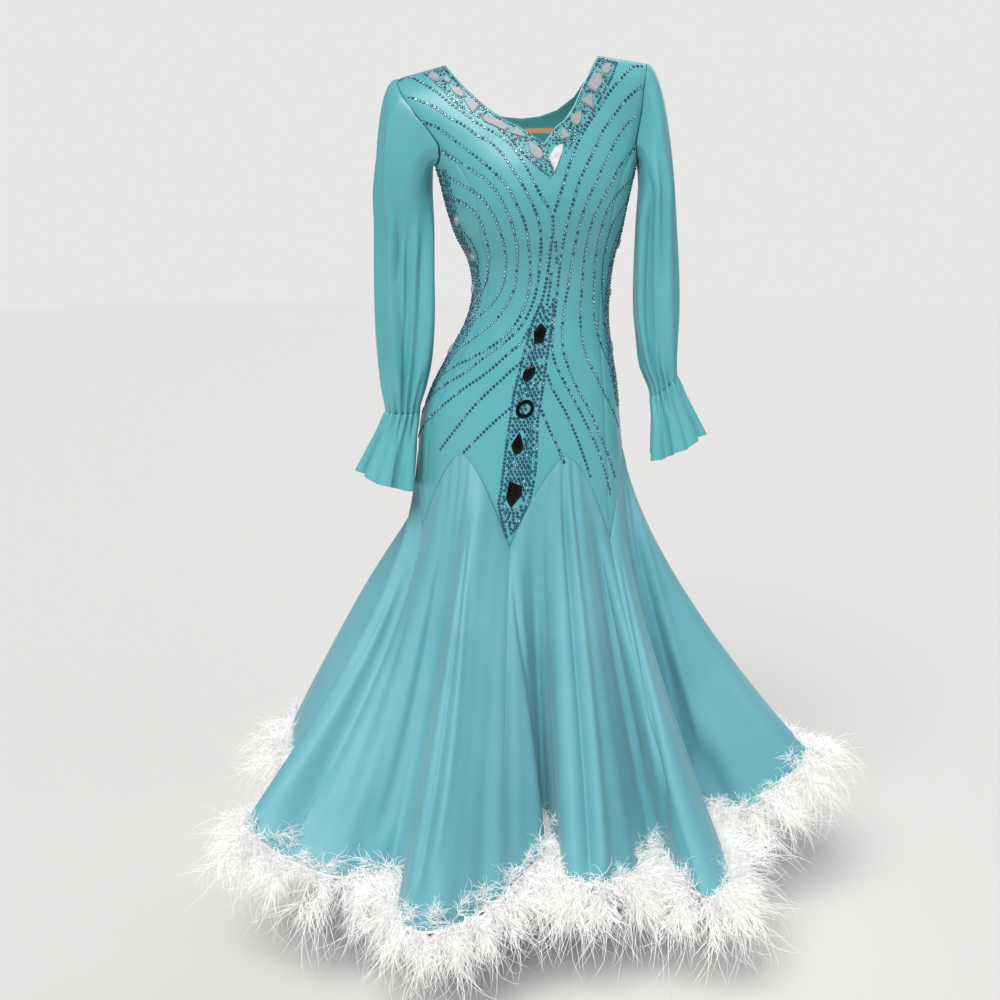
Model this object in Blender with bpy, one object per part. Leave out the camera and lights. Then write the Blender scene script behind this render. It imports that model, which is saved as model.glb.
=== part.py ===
# Ballroom dance dress: satin bodice and hip yoke, gathered sleeves, chiffon gores and a feather hem.
# Metres, +Z up, front faces -Y, origin midway between the shoulders where the wearer carries the dress.
# Angles on the body are degrees from centre front, positive towards +X.

import math
from collections import namedtuple

import bmesh
import bpy
from mathutils import Vector
from mathutils.bvhtree import BVHTree

# Cloth, seams and trim
SATIN_WALL = 0.0012
CHIFFON_WALL = 0.0010
SEAM_GAP = 0.0006
GORE_COLUMNS = 14
SEAM_RADIUS = 0.14         # mean reach of the long seams, to turn their gap into degrees
HIP_RADIUS = 0.15          # the same for the yoke seam
SMOOTH_ANGLE = 50

# Shoulder line: half neck opening, fall from neck to sleeve, lean to one side, and depth over which it fades
NECK_HALF = 0.122
SHOULDER_HALF = 0.199
SHOULDER_FALL = 0.22
SHOULDER_LEAN = 0.06
SHOULDER_FADE = 0.16

# Hip yoke seam: six points, one each 60 degrees, with an arch between each two
POINT_STEP = 60.0
POINT_Z = -0.772
ARCH_Z = -0.626
ARCH_POWER = 1.6

# Body sections: height, centre, half width, depth to the front and to the back, turn in degrees
Body = namedtuple("Body", "z centre half front back turn")
BODY = (
    Body(-0.840, 0.000, 0.191, 0.138, 0.142, -9),
    Body(-0.720, 0.000, 0.181, 0.128, 0.134, -8),
    Body(-0.659, 0.000, 0.176, 0.122, 0.130, -7),
    Body(-0.592, -0.001, 0.169, 0.114, 0.122, -6),
    Body(-0.533, 0.006, 0.156, 0.104, 0.110, -4),
    Body(-0.474, 0.016, 0.137, 0.094, 0.092, -1),
    Body(-0.424, 0.026, 0.120, 0.086, 0.078, 2),
    Body(-0.373, 0.033, 0.113, 0.083, 0.072, 4),
    Body(-0.317, 0.033, 0.120, 0.091, 0.074, 6),
    Body(-0.273, 0.028, 0.137, 0.106, 0.080, 8),
    Body(-0.219, 0.025, 0.151, 0.119, 0.086, 10),
    Body(-0.168, 0.024, 0.164, 0.108, 0.088, 10),
    Body(-0.121, 0.018, 0.183, 0.088, 0.084, 9),
    Body(-0.077, 0.008, 0.208, 0.070, 0.074, 6),
    Body(-0.045, 0.002, 0.226, 0.056, 0.060, 3),
    Body(-0.022, 0.000, 0.240, 0.040, 0.042, 1),
    Body(-0.008, 0.000, 0.247, 0.024, 0.024, 0),
    Body(0.000, 0.000, 0.250, 0.000, 0.000, 0),
)

# Side edge of the front and back panels, in degrees from their own middle: seam below, armhole above
Edge = namedtuple("Edge", "z front back")
ARMHOLE_Z = -0.130
EDGES = (
    Edge(-0.800, 60, 60),
    Edge(-0.600, 60, 60),
    Edge(-0.560, 60, 60),
    Edge(-0.373, 56, 57),
    Edge(-0.273, 50, 54),
    Edge(-0.219, 48, 53),
    Edge(-0.170, 54, 56),
    Edge(ARMHOLE_Z, 63, 62),
    Edge(-0.077, 61, 60),
    Edge(-0.030, 56, 56),
    Edge(0.000, 52.7, 52.7),
)

# Top of a side panel: the low part of the armhole, from the front seam round to the back seam
UNDERARM_Z = -0.164
UNDERARM_ROUND = 0.8
ARMHOLE_STEPS = 6

# Neckline: half opening at each height, from the shoulder down to its lowest point
Neck = namedtuple("Neck", "half z")
FRONT_NECK = (
    Neck(0.122, 0.000),
    Neck(0.093, -0.040),
    Neck(0.068, -0.072),
    Neck(0.047, -0.091),
    Neck(0.029, -0.101),
    Neck(0.016, -0.112),
    Neck(0.000, -0.127),
)
BACK_NECK = (
    Neck(0.122, 0.000),
    Neck(0.108, -0.030),
    Neck(0.088, -0.058),
    Neck(0.060, -0.078),
    Neck(0.030, -0.088),
    Neck(0.000, -0.091),
)
SHOULDER_COLUMNS = 4

# Rows of a panel: even ones up to the armhole corner, then shares of the rest of the way to the shoulder
LOWER_ROWS = 10
UPPER_SHARES = (0.39, 0.65, 0.84, 1.0)
PANEL_EASE = 1.5           # how late the columns draw in from the yoke to the neckline

# Hem folds: body angle where the fold starts, hem position, how late it swings out, columns to the next
Fold = namedtuple("Fold", "angle x y z swing columns")
FOLDS = (
    Fold(-180, 0.020, 0.430, -1.290, 1.3, 3),
    Fold(-170, -0.085, 0.360, -1.285, 1.4, 2),
    Fold(-163, -0.110, 0.255, -1.290, 1.5, 3),
    Fold(-152, -0.205, 0.400, -1.275, 1.3, 2),
    Fold(-144, -0.280, 0.345, -1.270, 1.2, 2),
    Fold(-136, -0.275, 0.200, -1.285, 1.0, 2),
    Fold(-120, -0.430, 0.190, -1.215, 0.75, 3),
    Fold(-108, -0.395, 0.060, -1.250, 1.05, 2),
    Fold(-99, -0.315, -0.010, -1.285, 1.6, 3),
    Fold(-86, -0.390, -0.150, -1.240, 1.6, 3),
    Fold(-72, -0.450, -0.250, -1.215, 1.5, 3),
    Fold(-60, -0.385, -0.290, -1.250, 1.4, 3),
    Fold(-44, -0.296, -0.300, -1.280, 1.3, 2),
    Fold(-30, -0.208, -0.270, -1.285, 1.3, 3),
    Fold(-18, -0.190, -0.410, -1.300, 1.0, 2),
    Fold(-9, -0.125, -0.430, -1.300, 1.0, 4),
    Fold(0, -0.035, -0.365, -1.285, 1.0, 2),
    Fold(5, 0.026, -0.275, -1.255, 1.1, 2),
    Fold(12, 0.042, -0.185, -1.240, 1.4, 3),
    Fold(22, 0.075, -0.310, -1.268, 1.2, 2),
    Fold(31, 0.130, -0.335, -1.275, 1.2, 2),
    Fold(40, 0.195, -0.270, -1.285, 1.2, 1),
    Fold(47, 0.222, -0.190, -1.280, 1.4, 2),
    Fold(60, 0.285, -0.345, -1.294, 1.2, 3),
    Fold(69, 0.345, -0.250, -1.290, 1.3, 3),
    Fold(78, 0.325, -0.060, -1.285, 1.5, 2),
    Fold(88, 0.415, -0.090, -1.252, 1.4, 2),
    Fold(98, 0.505, -0.020, -1.182, 1.35, 2),
    Fold(110, 0.475, 0.110, -1.215, 1.3, 2),
    Fold(120, 0.365, 0.125, -1.275, 1.4, 3),
    Fold(132, 0.400, 0.300, -1.255, 1.2, 2),
    Fold(142, 0.290, 0.225, -1.285, 1.4, 3),
    Fold(153, 0.270, 0.385, -1.275, 1.2, 2),
    Fold(164, 0.150, 0.290, -1.290, 1.4, 4),
)
GORE_ROWS = 9

# Sleeve sections below the cap: height, centre, half width, half depth, size of the hanging folds
Sleeve = namedtuple("Sleeve", "z x y wide deep fold")
SLEEVES = {
    "left": (
        Sleeve(-0.210, -0.1920, 0.000, 0.0460, 0.050, 0.000),
        Sleeve(-0.262, -0.1895, 0.002, 0.0470, 0.047, 0.002),
        Sleeve(-0.340, -0.1905, -0.004, 0.0475, 0.044, 0.004),
        Sleeve(-0.410, -0.1910, -0.012, 0.0470, 0.041, 0.005),
        Sleeve(-0.474, -0.1925, -0.020, 0.0425, 0.037, 0.005),
        Sleeve(-0.520, -0.1955, -0.026, 0.0350, 0.032, 0.003),
        Sleeve(-0.553, -0.1975, -0.030, 0.0265, 0.025, 0.001),
        Sleeve(-0.566, -0.1980, -0.030, 0.0245, 0.023, 0.000),
    ),
    "right": (
        Sleeve(-0.200, 0.2215, 0.006, 0.0290, 0.052, 0.000),
        Sleeve(-0.262, 0.2210, 0.006, 0.0330, 0.053, 0.002),
        Sleeve(-0.344, 0.2225, 0.004, 0.0360, 0.051, 0.004),
        Sleeve(-0.400, 0.2240, 0.000, 0.0355, 0.047, 0.005),
        Sleeve(-0.440, 0.2265, -0.006, 0.0320, 0.042, 0.005),
        Sleeve(-0.485, 0.2305, -0.012, 0.0265, 0.034, 0.003),
        Sleeve(-0.513, 0.2370, -0.016, 0.0200, 0.026, 0.001),
        Sleeve(-0.526, 0.2395, -0.018, 0.0185, 0.024, 0.000),
    ),
}
CAP_RINGS = 3
TUBE_RINGS = 11
RING_CROWDING = 1.25       # how much closer the rings lie near the wrist
FOLDS_ROUND_SLEEVE = 5
SLEEVE_TWIST = 1.1
CAP_REACH = 0.55           # how far out the cap's crown bends, of the way from seam to tube
CAP_OUT_TOP = 0.0006       # sideways gap from armhole to sleeve at the shoulder and under the arm
CAP_OUT_UNDER = 0.0040
TILT_EASE = 3
ELASTIC_TILT = {"left": 0.0, "right": 0.016}

# Cuff frills: hem centre, half width, half depth, rise from the inner to the outer edge
Frill = namedtuple("Frill", "x y z wide deep rise waves")
FRILLS = {
    "left": Frill(-0.2250, -0.034, -0.684, 0.0400, 0.044, 0.014, 5),
    "right": Frill(0.2620, -0.022, -0.630, 0.0370, 0.042, 0.020, 5),
}
FRILL_COLUMNS = 20
FRILL_ROWS = 3
FRILL_WAVE = 0.007
FRILL_PHASE = 0.6
FRILL_OPENING = 0.8        # how early a frill flares out

# Feather trim: a narrow strip under each gore's edge, with plume locks hanging from it
STRIP_DROP = 0.0009
STRIP_TALL = 0.008
STRIP_DEEP = 0.007
LOCK_PITCH = 0.034
LOCK_ROOT = 0.020
LOCK_ROOT_SHARE = 0.6      # most that a root takes of its pitch
LOCK_WIDE = 0.0125         # half width at the middle of a lock
LOCK_WIDE_SHARE = 0.36     # most that the half width takes of the pitch
LOCK_THICK = 0.006
LOCK_MIDDLE = 0.45
LOCK_LENGTHS = (0.142, 0.120, 0.150, 0.128, 0.136)
LOCK_FLARE = 0.25          # how far a lock leans out from the cloth's own fall
LOCK_SWAY = 0.006
TIGHT_FOLD = 0.25          # turn of the hem inward, in one column, that makes its locks slimmer

# Neck strap
STRAP_HALF = 0.024
STRAP_CENTRE = 0.002
STRAP_TOP = -0.1035
STRAP_TALL = 0.008
STRAP_THICK = 0.0010
STRAP_GAP = 0.0006
STRAP_COLUMNS = 4

# Large stones: place as degrees from centre front and height, width, height, turn, corners or shape
Stone = namedtuple("Stone", "name angle z wide tall turn shape")
STONES = (
    Stone("neck_stone_1", -35.0, -0.0170, 0.014, 0.020, 35, "oval"),
    Stone("neck_stone_2", -30.2, -0.0260, 0.011, 0.011, 0, "oval"),
    Stone("neck_stone_3", -28.6, -0.0440, 0.016, 0.026, 40, "drop"),
    Stone("neck_stone_4", -25.8, -0.0660, 0.026, 0.020, 35, "triangle"),
    Stone("neck_stone_5", -19.3, -0.0950, 0.040, 0.016, -28, "long"),
    Stone("neck_stone_6", -10.8, -0.1090, 0.022, 0.014, -20, "triangle"),
    Stone("neck_stone_7", -5.6, -0.1370, 0.019, 0.031, 26, "drop"),
    Stone("neck_stone_8", 4.8, -0.1480, 0.022, 0.044, -30, "kite"),
    Stone("neck_stone_9", 11.4, -0.1120, 0.018, 0.017, 10, "triangle"),
    Stone("neck_stone_10", 19.7, -0.0890, 0.016, 0.026, -42, "drop"),
    Stone("neck_stone_11", 26.6, -0.0620, 0.024, 0.020, -30, "triangle"),
    Stone("neck_stone_12", 29.6, -0.0370, 0.022, 0.028, -25, "pentagon"),
    Stone("neck_stone_13", 33.4, -0.0180, 0.017, 0.017, 0, "hexagon"),
    Stone("centre_stone_1", 0.6, -0.4263, 0.021, 0.033, 8, "pentagon"),
    Stone("centre_stone_2", 0.9, -0.4900, 0.019, 0.028, -8, "rounded"),
    Stone("centre_stone_3", 3.7, -0.5474, 0.030, 0.030, 0, "ring"),
    Stone("centre_stone_4", 2.7, -0.6021, 0.019, 0.036, -4, "drop"),
    Stone("centre_stone_5", 1.3, -0.6872, 0.028, 0.044, -6, "shield"),
    Stone("side_stone_1", -72.0, -0.2500, 0.011, 0.016, -20, "oval"),
    Stone("side_stone_2", -70.0, -0.3080, 0.013, 0.013, 0, "hexagon"),
    Stone("side_stone_3", -84.0, -0.3640, 0.012, 0.017, 0, "oval"),
    Stone("side_stone_4", -86.0, -0.4650, 0.013, 0.016, 25, "pentagon"),
    Stone("side_stone_5", 78.0, -0.2900, 0.011, 0.016, 0, "oval"),
    Stone("side_stone_6", 84.0, -0.3700, 0.013, 0.013, 0, "hexagon"),
    Stone("side_stone_7", 86.0, -0.4600, 0.012, 0.017, -10, "oval"),
)
STONE_CLEAR = 0.0003
STONE_LIFT = 0.0002
STONE_GIRDLE = 0.0012
STONE_RISE = 0.0034
STONE_TABLE = 0.62
STONE_SMOOTH_ANGLE = 12
STONE_START = 0.020        # how far out the search for the cloth under a stone starts
RING_LEVELS = ((1, 0), (1, STONE_GIRDLE), (0.85, STONE_RISE), (0.72, STONE_RISE), (0.58, 0))
STONE_LEVELS = ((1, 0), (1, STONE_GIRDLE), (STONE_TABLE, STONE_RISE))

Finish = namedtuple("Finish", "colour roughness metallic")
SATIN = Finish((0.16, 0.53, 0.55, 1), 0.38, 0.0)
CHIFFON = Finish((0.18, 0.54, 0.60, 1), 0.60, 0.0)
FEATHER = Finish((0.88, 0.87, 0.86, 1), 0.90, 0.0)
TAN = Finish((0.34, 0.19, 0.09, 1), 0.70, 0.0)
MIRROR = Finish((0.55, 0.57, 0.60, 1), 0.06, 0.9)
JET = Finish((0.01, 0.01, 0.012, 1), 0.06, 0.0)


def smooth_row(rows, key, at):
    """A row of the table at this key, on a smooth curve through the rows."""
    low = 0
    while low < len(rows) - 2 and getattr(rows[low + 1], key) <= at:
        low += 1
    before, first = rows[max(low - 1, 0)], rows[low]
    second, after = rows[low + 1], rows[min(low + 2, len(rows) - 1)]
    step = getattr(second, key) - getattr(first, key)
    share = min(max((at - getattr(first, key)) / step, 0.0), 1.0)

    def slope(one, two, field):
        width = getattr(two, key) - getattr(one, key)
        return (getattr(two, field) - getattr(one, field)) / width * step

    values = []
    for field in first._fields:
        a, b = getattr(first, field), getattr(second, field)
        m, n = slope(before, second, field), slope(first, after, field)
        s2, s3 = share * share, share ** 3
        values.append(
            (2 * s3 - 3 * s2 + 1) * a + (s3 - 2 * s2 + share) * m + (3 * s2 - 2 * s3) * b + (s3 - s2) * n
        )
    return first._make(values)


def linear_row(rows, key, at):
    """A row of the table at this key, on straight lines between the rows."""
    for first, second in zip(rows, rows[1:]):
        if at <= getattr(second, key) or second is rows[-1]:
            step = getattr(second, key) - getattr(first, key)
            share = min(max((at - getattr(first, key)) / step, 0.0), 1.0)
            return first._make([a + (b - a) * share for a, b in zip(first, second)])


def body_point(angle, z):
    """Point on the body's surface at an angle from centre front; z is the height below the shoulder line."""
    row = smooth_row(BODY, "z", z)
    a, turn = math.radians(angle), math.radians(row.turn)
    across = row.half * math.sin(a)
    depth = (row.front if math.cos(a) > 0 else row.back) * -math.cos(a)
    x = row.centre + across * math.cos(turn) - depth * math.sin(turn)
    y = across * math.sin(turn) + depth * math.cos(turn)
    fade = max(0.0, 1 + z / SHOULDER_FADE) ** 2
    line = SHOULDER_LEAN * x - SHOULDER_FALL * max(0.0, abs(x) - NECK_HALF)
    return Vector((x, y, z + fade * line))


def body_normal(angle, z):
    """Outward direction of the body's surface."""
    z = min(z, -0.004)
    around = body_point(angle + 0.5, z) - body_point(angle - 0.5, z)
    up = body_point(angle, z + 0.002) - body_point(angle, z - 0.002)
    return around.cross(up).normalized()


def angle_of(half, z):
    """Degrees from centre front at which the surface is this far to the side."""
    wide = smooth_row(BODY, "z", z).half
    return math.degrees(math.asin(max(-1.0, min(1.0, half / wide))))


def yoke_z(angle):
    """Height of the hip yoke seam."""
    from_middle = (angle % POINT_STEP) / POINT_STEP * 2 - 1
    return POINT_Z + (ARCH_Z - POINT_Z) * (1 - abs(from_middle) ** ARCH_POWER)


def yoke_gap(angle):
    """Half the seam gap, measured upright, so that the gap across the slanted seam stays even."""
    from_middle = abs((angle % POINT_STEP) / POINT_STEP * 2 - 1)
    rise = (ARCH_Z - POINT_Z) * ARCH_POWER * from_middle ** (ARCH_POWER - 1)
    run = HIP_RADIUS * math.radians(POINT_STEP / 2)
    return SEAM_GAP / 2 * math.hypot(1, rise / run)


def hem_columns():
    """All columns of the skirt: body angle, hem position and swing, on a smooth closed curve of the folds."""
    columns = []
    count = len(FOLDS)
    for index, fold in enumerate(FOLDS):
        rows = [FOLDS[(index + step) % count] for step in (-1, 0, 1, 2)]
        end_angle = rows[2].angle if index < count - 1 else 180.0
        for step in range(fold.columns):
            share = step / fold.columns
            values = []
            for field in ("x", "y", "z", "swing"):
                p, a, b, n = (getattr(row, field) for row in rows)
                values.append(
                    0.5 * (2 * a + (b - p) * share + (2 * p - 5 * a + 4 * b - n) * share ** 2
                           + (3 * a - p - 3 * b + n) * share ** 3)
                )
            angle = fold.angle + (end_angle - fold.angle) * share
            columns.append(Fold(angle, *values, 1))
    first = columns[0]
    columns.append(first._replace(angle=180.0))
    return columns


COLUMNS = hem_columns()
YOKE_ANGLES = [column.angle for column in COLUMNS]


def material(name, finish):
    made = bpy.data.materials.new(name)
    made.use_nodes = True
    shader = made.node_tree.nodes["Principled BSDF"]
    shader.inputs["Base Color"].default_value = finish.colour
    shader.inputs["Roughness"].default_value = finish.roughness
    shader.inputs["Metallic"].default_value = finish.metallic
    made.diffuse_color = finish.colour
    return made


def add_object(name, shape, finish, smooth_angle=SMOOTH_ANGLE):
    """Turn a finished shape into a named object of the dress."""
    bmesh.ops.recalc_face_normals(shape, faces=shape.faces)
    mesh_data = bpy.data.meshes.new(name)
    shape.to_mesh(mesh_data)
    shape.free()
    mesh_data.materials.append(material(name, finish))
    mesh_data.shade_smooth()
    mesh_data.set_sharp_from_angle(angle=math.radians(smooth_angle))
    bpy.data.collections["ballroom dance dress"].objects.link(bpy.data.objects.new(name, mesh_data))


def sheet(name, grid, normals, wall, finish, closed=False):
    """Cloth over a grid of points, row by row: the wall is laid outward, so seam edges stay parallel."""
    shape = bmesh.new()
    inner = [[shape.verts.new(point) for point in row] for row in grid]
    outer = [
        [shape.verts.new(point + normal * wall) for point, normal in zip(row, row_normals)]
        for row, row_normals in zip(grid, normals)
    ]
    count = len(grid[0])
    across = count if closed else count - 1
    for row in range(len(grid) - 1):
        for index in range(across):
            after = (index + 1) % count
            places = [(row, index), (row, after), (row + 1, after), (row + 1, index)]
            corners = [grid[r][c] for r, c in places]
            if (corners[0] - corners[2]).length < (corners[1] - corners[3]).length:
                places = places[1:] + places[:1]
            for one, two, three in ((0, 1, 3), (1, 2, 3)):
                for layer in (inner, outer):
                    shape.faces.new([layer[places[k][0]][places[k][1]] for k in (one, two, three)])
    borders = [(inner[0], outer[0]), (inner[-1], outer[-1])]
    if not closed:
        borders += [([row[end] for row in inner], [row[end] for row in outer]) for end in (0, -1)]
    for one, two in borders:
        for index in range(len(one) if closed else len(one) - 1):
            after = (index + 1) % len(one)
            shape.faces.new((one[index], one[after], two[after], two[index]))
    add_object(name, shape, finish)


def grid_normals(grid):
    """Outward directions of a closed grid whose rows run to the wearer's left, listed from the bottom up."""
    found = []
    count = len(grid[0])
    for index, row in enumerate(grid):
        low, high = grid[max(index - 1, 0)], grid[min(index + 1, len(grid) - 1)]
        found.append([
            (row[(k + 1) % count] - row[k - 1]).cross(high[k] - low[k]).normalized() for k in range(count)
        ])
    return found


def neck_point(neck, share):
    """Half opening and height on the neckline, from its lowest point (0) to the shoulder (1)."""
    at = (len(neck) - 1) * (1 - share)
    low = min(int(at), len(neck) - 2)
    first, second = neck[low], neck[low + 1]
    part = at - low
    return first.half + (second.half - first.half) * part, first.z + (second.z - first.z) * part


def panel_shares():
    """How far up each row of a front or back panel lies, from yoke seam (0) to shoulder (1)."""
    low_z = yoke_z(POINT_STEP) + yoke_gap(POINT_STEP)
    corner = 1 - ARMHOLE_Z / low_z
    lower = [corner * row / LOWER_ROWS for row in range(LOWER_ROWS + 1)]
    return lower + [corner + (1 - corner) * share for share in UPPER_SHARES]


def panel_grid(facing, neck, columns):
    """Front or back panel; columns are degrees at the yoke seam from the panel's own middle."""
    middle = 0.0 if facing == "front" else 180.0
    gap = math.degrees(SEAM_GAP / 2 / SEAM_RADIUS)
    half_count = len(columns) // 2
    neck_count = half_count - SHOULDER_COLUMNS
    tops = []
    for index in range(len(columns)):
        from_middle = abs(index - half_count)
        if from_middle <= neck_count:
            half, z = neck_point(neck, from_middle / neck_count)
        else:
            part = (from_middle - neck_count) / SHOULDER_COLUMNS
            half, z = NECK_HALF + (SHOULDER_HALF - NECK_HALF) * part, 0.0
        side = math.copysign(1, index - half_count) if from_middle else 0
        edge = getattr(linear_row(EDGES, "z", z), facing)
        tops.append((side * angle_of(half, z) / edge, z))
    grid, normals = [], []
    for share in panel_shares():
        row, row_normals = [], []
        for index, low_angle in enumerate(columns):
            top_part, top_z = tops[index]
            angle = middle + low_angle
            low_z = yoke_z(angle) + yoke_gap(angle)
            z = low_z + (top_z - low_z) * share
            edge = getattr(smooth_row(EDGES, "z", z), facing)
            part = low_angle / POINT_STEP
            part += (top_part - part) * share ** PANEL_EASE
            here = part * edge - math.copysign(gap, part) * (abs(part) > 0.999)
            point = body_point(middle + here, z)
            if top_z == 0.0 and share == 1.0:
                point.y += -SEAM_GAP / 2 if facing == "front" else SEAM_GAP / 2
            row.append(point)
            row_normals.append(body_normal(middle + here, z))
        grid.append(row)
        normals.append(row_normals)
    return grid, normals


def side_top_z(share):
    """Height of the low armhole over a side panel, from front seam (0) to back seam (1)."""
    return ARMHOLE_Z + (UNDERARM_Z - ARMHOLE_Z) * math.sin(math.pi * share) ** UNDERARM_ROUND


def side_edges(z):
    row = smooth_row(EDGES, "z", z)
    return row.front, 180.0 - row.back


def side_grid(side, columns):
    """Side panel; columns are degrees at the yoke seam, counted up from the front seam."""
    grid, normals = [], []
    gap = math.degrees(SEAM_GAP / 2 / SEAM_RADIUS)
    for row_index in range(LOWER_ROWS + 1):
        share = row_index / LOWER_ROWS
        row, row_normals = [], []
        for index, low_angle in enumerate(columns):
            part = (low_angle - columns[0]) / (columns[-1] - columns[0])
            even = index / (len(columns) - 1)
            part += (even - part) * share
            low_z = yoke_z(low_angle) + yoke_gap(low_angle)
            z = low_z + (side_top_z(even) - low_z) * share
            corner_z = low_z + (ARMHOLE_Z - low_z) * share
            front, back = side_edges(z if 0 < index < len(columns) - 1 else corner_z)
            angle = front + gap + (back - front - 2 * gap) * part
            row.append(body_point(side * angle, z))
            row_normals.append(body_normal(side * angle, z))
        grid.append(row)
        normals.append(row_normals)
    return grid, normals


def armhole_loop(side):
    """Points round the armhole, from the shoulder down the front, under the arm and up the back."""
    loop = []
    low_z = yoke_z(POINT_STEP) + yoke_gap(POINT_STEP)
    heights = [low_z * (1 - share) for share in panel_shares()[LOWER_ROWS:]]
    for z in reversed(heights):
        loop.append(body_point(side * smooth_row(EDGES, "z", z).front, z))
    for step in range(1, ARMHOLE_STEPS):
        share = step / ARMHOLE_STEPS
        z = side_top_z(share)
        front, back = side_edges(z)
        loop.append(body_point(side * (front + (back - front) * share), z))
    for z in heights[:-1]:
        loop.append(body_point(side * (180 - smooth_row(EDGES, "z", z).back), z))
    return loop


def tube_ring(row, side, tilt, count, fold_count=0, phase=0.0):
    """Ring of a sleeve: starts on the outer side, runs by the front to the inner side and back."""
    ring = []
    for step in range(count):
        a = 2 * math.pi * step / count
        swell = 1 + row.fold / row.wide * math.cos(fold_count * a + phase)
        x = row.x + side * row.wide * swell * math.cos(a)
        y = row.y - row.deep * swell * math.sin(a)
        ring.append(Vector((x, y, row.z + tilt * math.cos(a))))
    return ring


def sleeve_rings(side_name):
    """Rings of a sleeve from the armhole to the wrist elastic."""
    side = -1 if side_name == "left" else 1
    rows = SLEEVES[side_name][::-1]
    top = SLEEVES[side_name][0]
    loop = armhole_loop(side)
    count = len(loop)
    first_tube = tube_ring(top, side, 0.0, count)
    rings = []
    for index in range(CAP_RINGS + 1):
        share = index / (CAP_RINGS + 1)
        ring = []
        for step, (seam, low) in enumerate(zip(loop, first_tube)):
            under = (1 - math.cos(2 * math.pi * step / count)) / 2
            start = seam + Vector((side * (CAP_OUT_TOP + (CAP_OUT_UNDER - CAP_OUT_TOP) * under), 0, 0))
            bend = start.lerp(low, CAP_REACH)
            bend.z = start.z
            one, two = start.lerp(bend, share), bend.lerp(low, share)
            ring.append(one.lerp(two, share))
        rings.append(ring)
    low_z = rows[0].z
    for index in range(TUBE_RINGS + 1):
        share = index / TUBE_RINGS
        z = top.z + (low_z - top.z) * (1 - (1 - share) ** RING_CROWDING)
        row = smooth_row(rows, "z", z)
        tilt = ELASTIC_TILT[side_name] * share ** TILT_EASE
        rings.append(tube_ring(row, side, tilt, count, FOLDS_ROUND_SLEEVE, share * SLEEVE_TWIST))
    return rings


def frill_rings(side_name):
    """Rings of a cuff frill from the wrist elastic to its hem."""
    side = -1 if side_name == "left" else 1
    wrist, hem = SLEEVES[side_name][-1], FRILLS[side_name]
    tilt = ELASTIC_TILT[side_name]
    rings = []
    for index in range(FRILL_ROWS + 1):
        share = index / FRILL_ROWS
        open_out = share ** FRILL_OPENING
        ring = []
        for step in range(FRILL_COLUMNS):
            a = 2 * math.pi * step / FRILL_COLUMNS
            wave = FRILL_WAVE * share * math.cos(hem.waves * a + FRILL_PHASE)
            wide = wrist.wide + (hem.wide - wrist.wide) * open_out + wave
            deep = wrist.deep + (hem.deep - wrist.deep) * open_out + wave
            x = wrist.x + (hem.x - wrist.x) * share + side * wide * math.cos(a)
            y = wrist.y + (hem.y - wrist.y) * share - deep * math.sin(a)
            top = wrist.z - SEAM_GAP + tilt * math.cos(a)
            z = top + (hem.z + hem.rise * math.cos(a) - top) * share
            ring.append(Vector((x, y, z)))
        rings.append(ring)
    return rings


def skirt_grid():
    """Points and outward directions of the whole skirt, from hem to yoke seam."""
    rows = []
    for row_index in range(GORE_ROWS + 1):
        share = 1 - row_index / GORE_ROWS
        row = []
        for column in COLUMNS[:-1]:
            top = body_point(column.angle, yoke_z(column.angle) - yoke_gap(column.angle))
            out = share ** column.swing
            x, y = top.x + (column.x - top.x) * out, top.y + (column.y - top.y) * out
            row.append(Vector((x, y, top.z + (column.z - top.z) * share)))
        rows.append(row)
    normals = grid_normals(rows)
    normals[-1] = [body_normal(column.angle, yoke_z(column.angle)) for column in COLUMNS[:-1]]
    return rows, normals


def gore_grid(number):
    """One gore of the skirt, its side edges drawn back for the seams."""
    rows, normals = skirt_grid()
    picks = [(number * GORE_COLUMNS + step) % len(rows[0]) for step in range(GORE_COLUMNS + 1)]
    grid = []
    for row in rows:
        points = [row[pick] for pick in picks]
        starts = (points[1] - points[0]).normalized(), (points[-2] - points[-1]).normalized()
        points[0] = points[0] + starts[0] * SEAM_GAP / 2
        points[-1] = points[-1] + starts[1] * SEAM_GAP / 2
        grid.append(points)
    return grid, [[row[pick] for pick in picks] for row in normals]


def build_bodice():
    angles = YOKE_ANGLES
    front = [a for a in angles if -60.01 <= a <= 60.01]
    back = [a - 180 for a in angles if a >= 119.99] + [a + 180 for a in angles[1:] if a <= -119.99]
    right = [a for a in angles if 59.99 <= a <= 120.01]
    left = [-a for a in angles if -120.01 <= a <= -59.99][::-1]
    assert len(front) == len(back) == 2 * GORE_COLUMNS + 1
    sheet("front_panel", *panel_grid("front", FRONT_NECK, front), SATIN_WALL, SATIN)
    sheet("back_panel", *panel_grid("back", BACK_NECK, back), SATIN_WALL, SATIN)
    sheet("side_panel_right", *side_grid(1, right), SATIN_WALL, SATIN)
    sheet("side_panel_left", *side_grid(-1, left), SATIN_WALL, SATIN)


def build_sleeves():
    for side_name in ("left", "right"):
        for name, rings in (
            (f"sleeve_{side_name}", sleeve_rings(side_name)),
            (f"cuff_frill_{side_name}", frill_rings(side_name)),
        ):
            normals = grid_normals(rings)
            if side_name == "left":
                normals = [[-normal for normal in row] for row in normals]
            wrist = -1 if name.startswith("sleeve") else 0
            normals[wrist] = [Vector((normal.x, normal.y, 0)).normalized() for normal in normals[wrist]]
            sheet(name, rings, normals, SATIN_WALL, SATIN, closed=True)


def build_gores():
    for number in range(6):
        sheet(f"gore_{number + 1}", *gore_grid(number), CHIFFON_WALL, CHIFFON)


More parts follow.
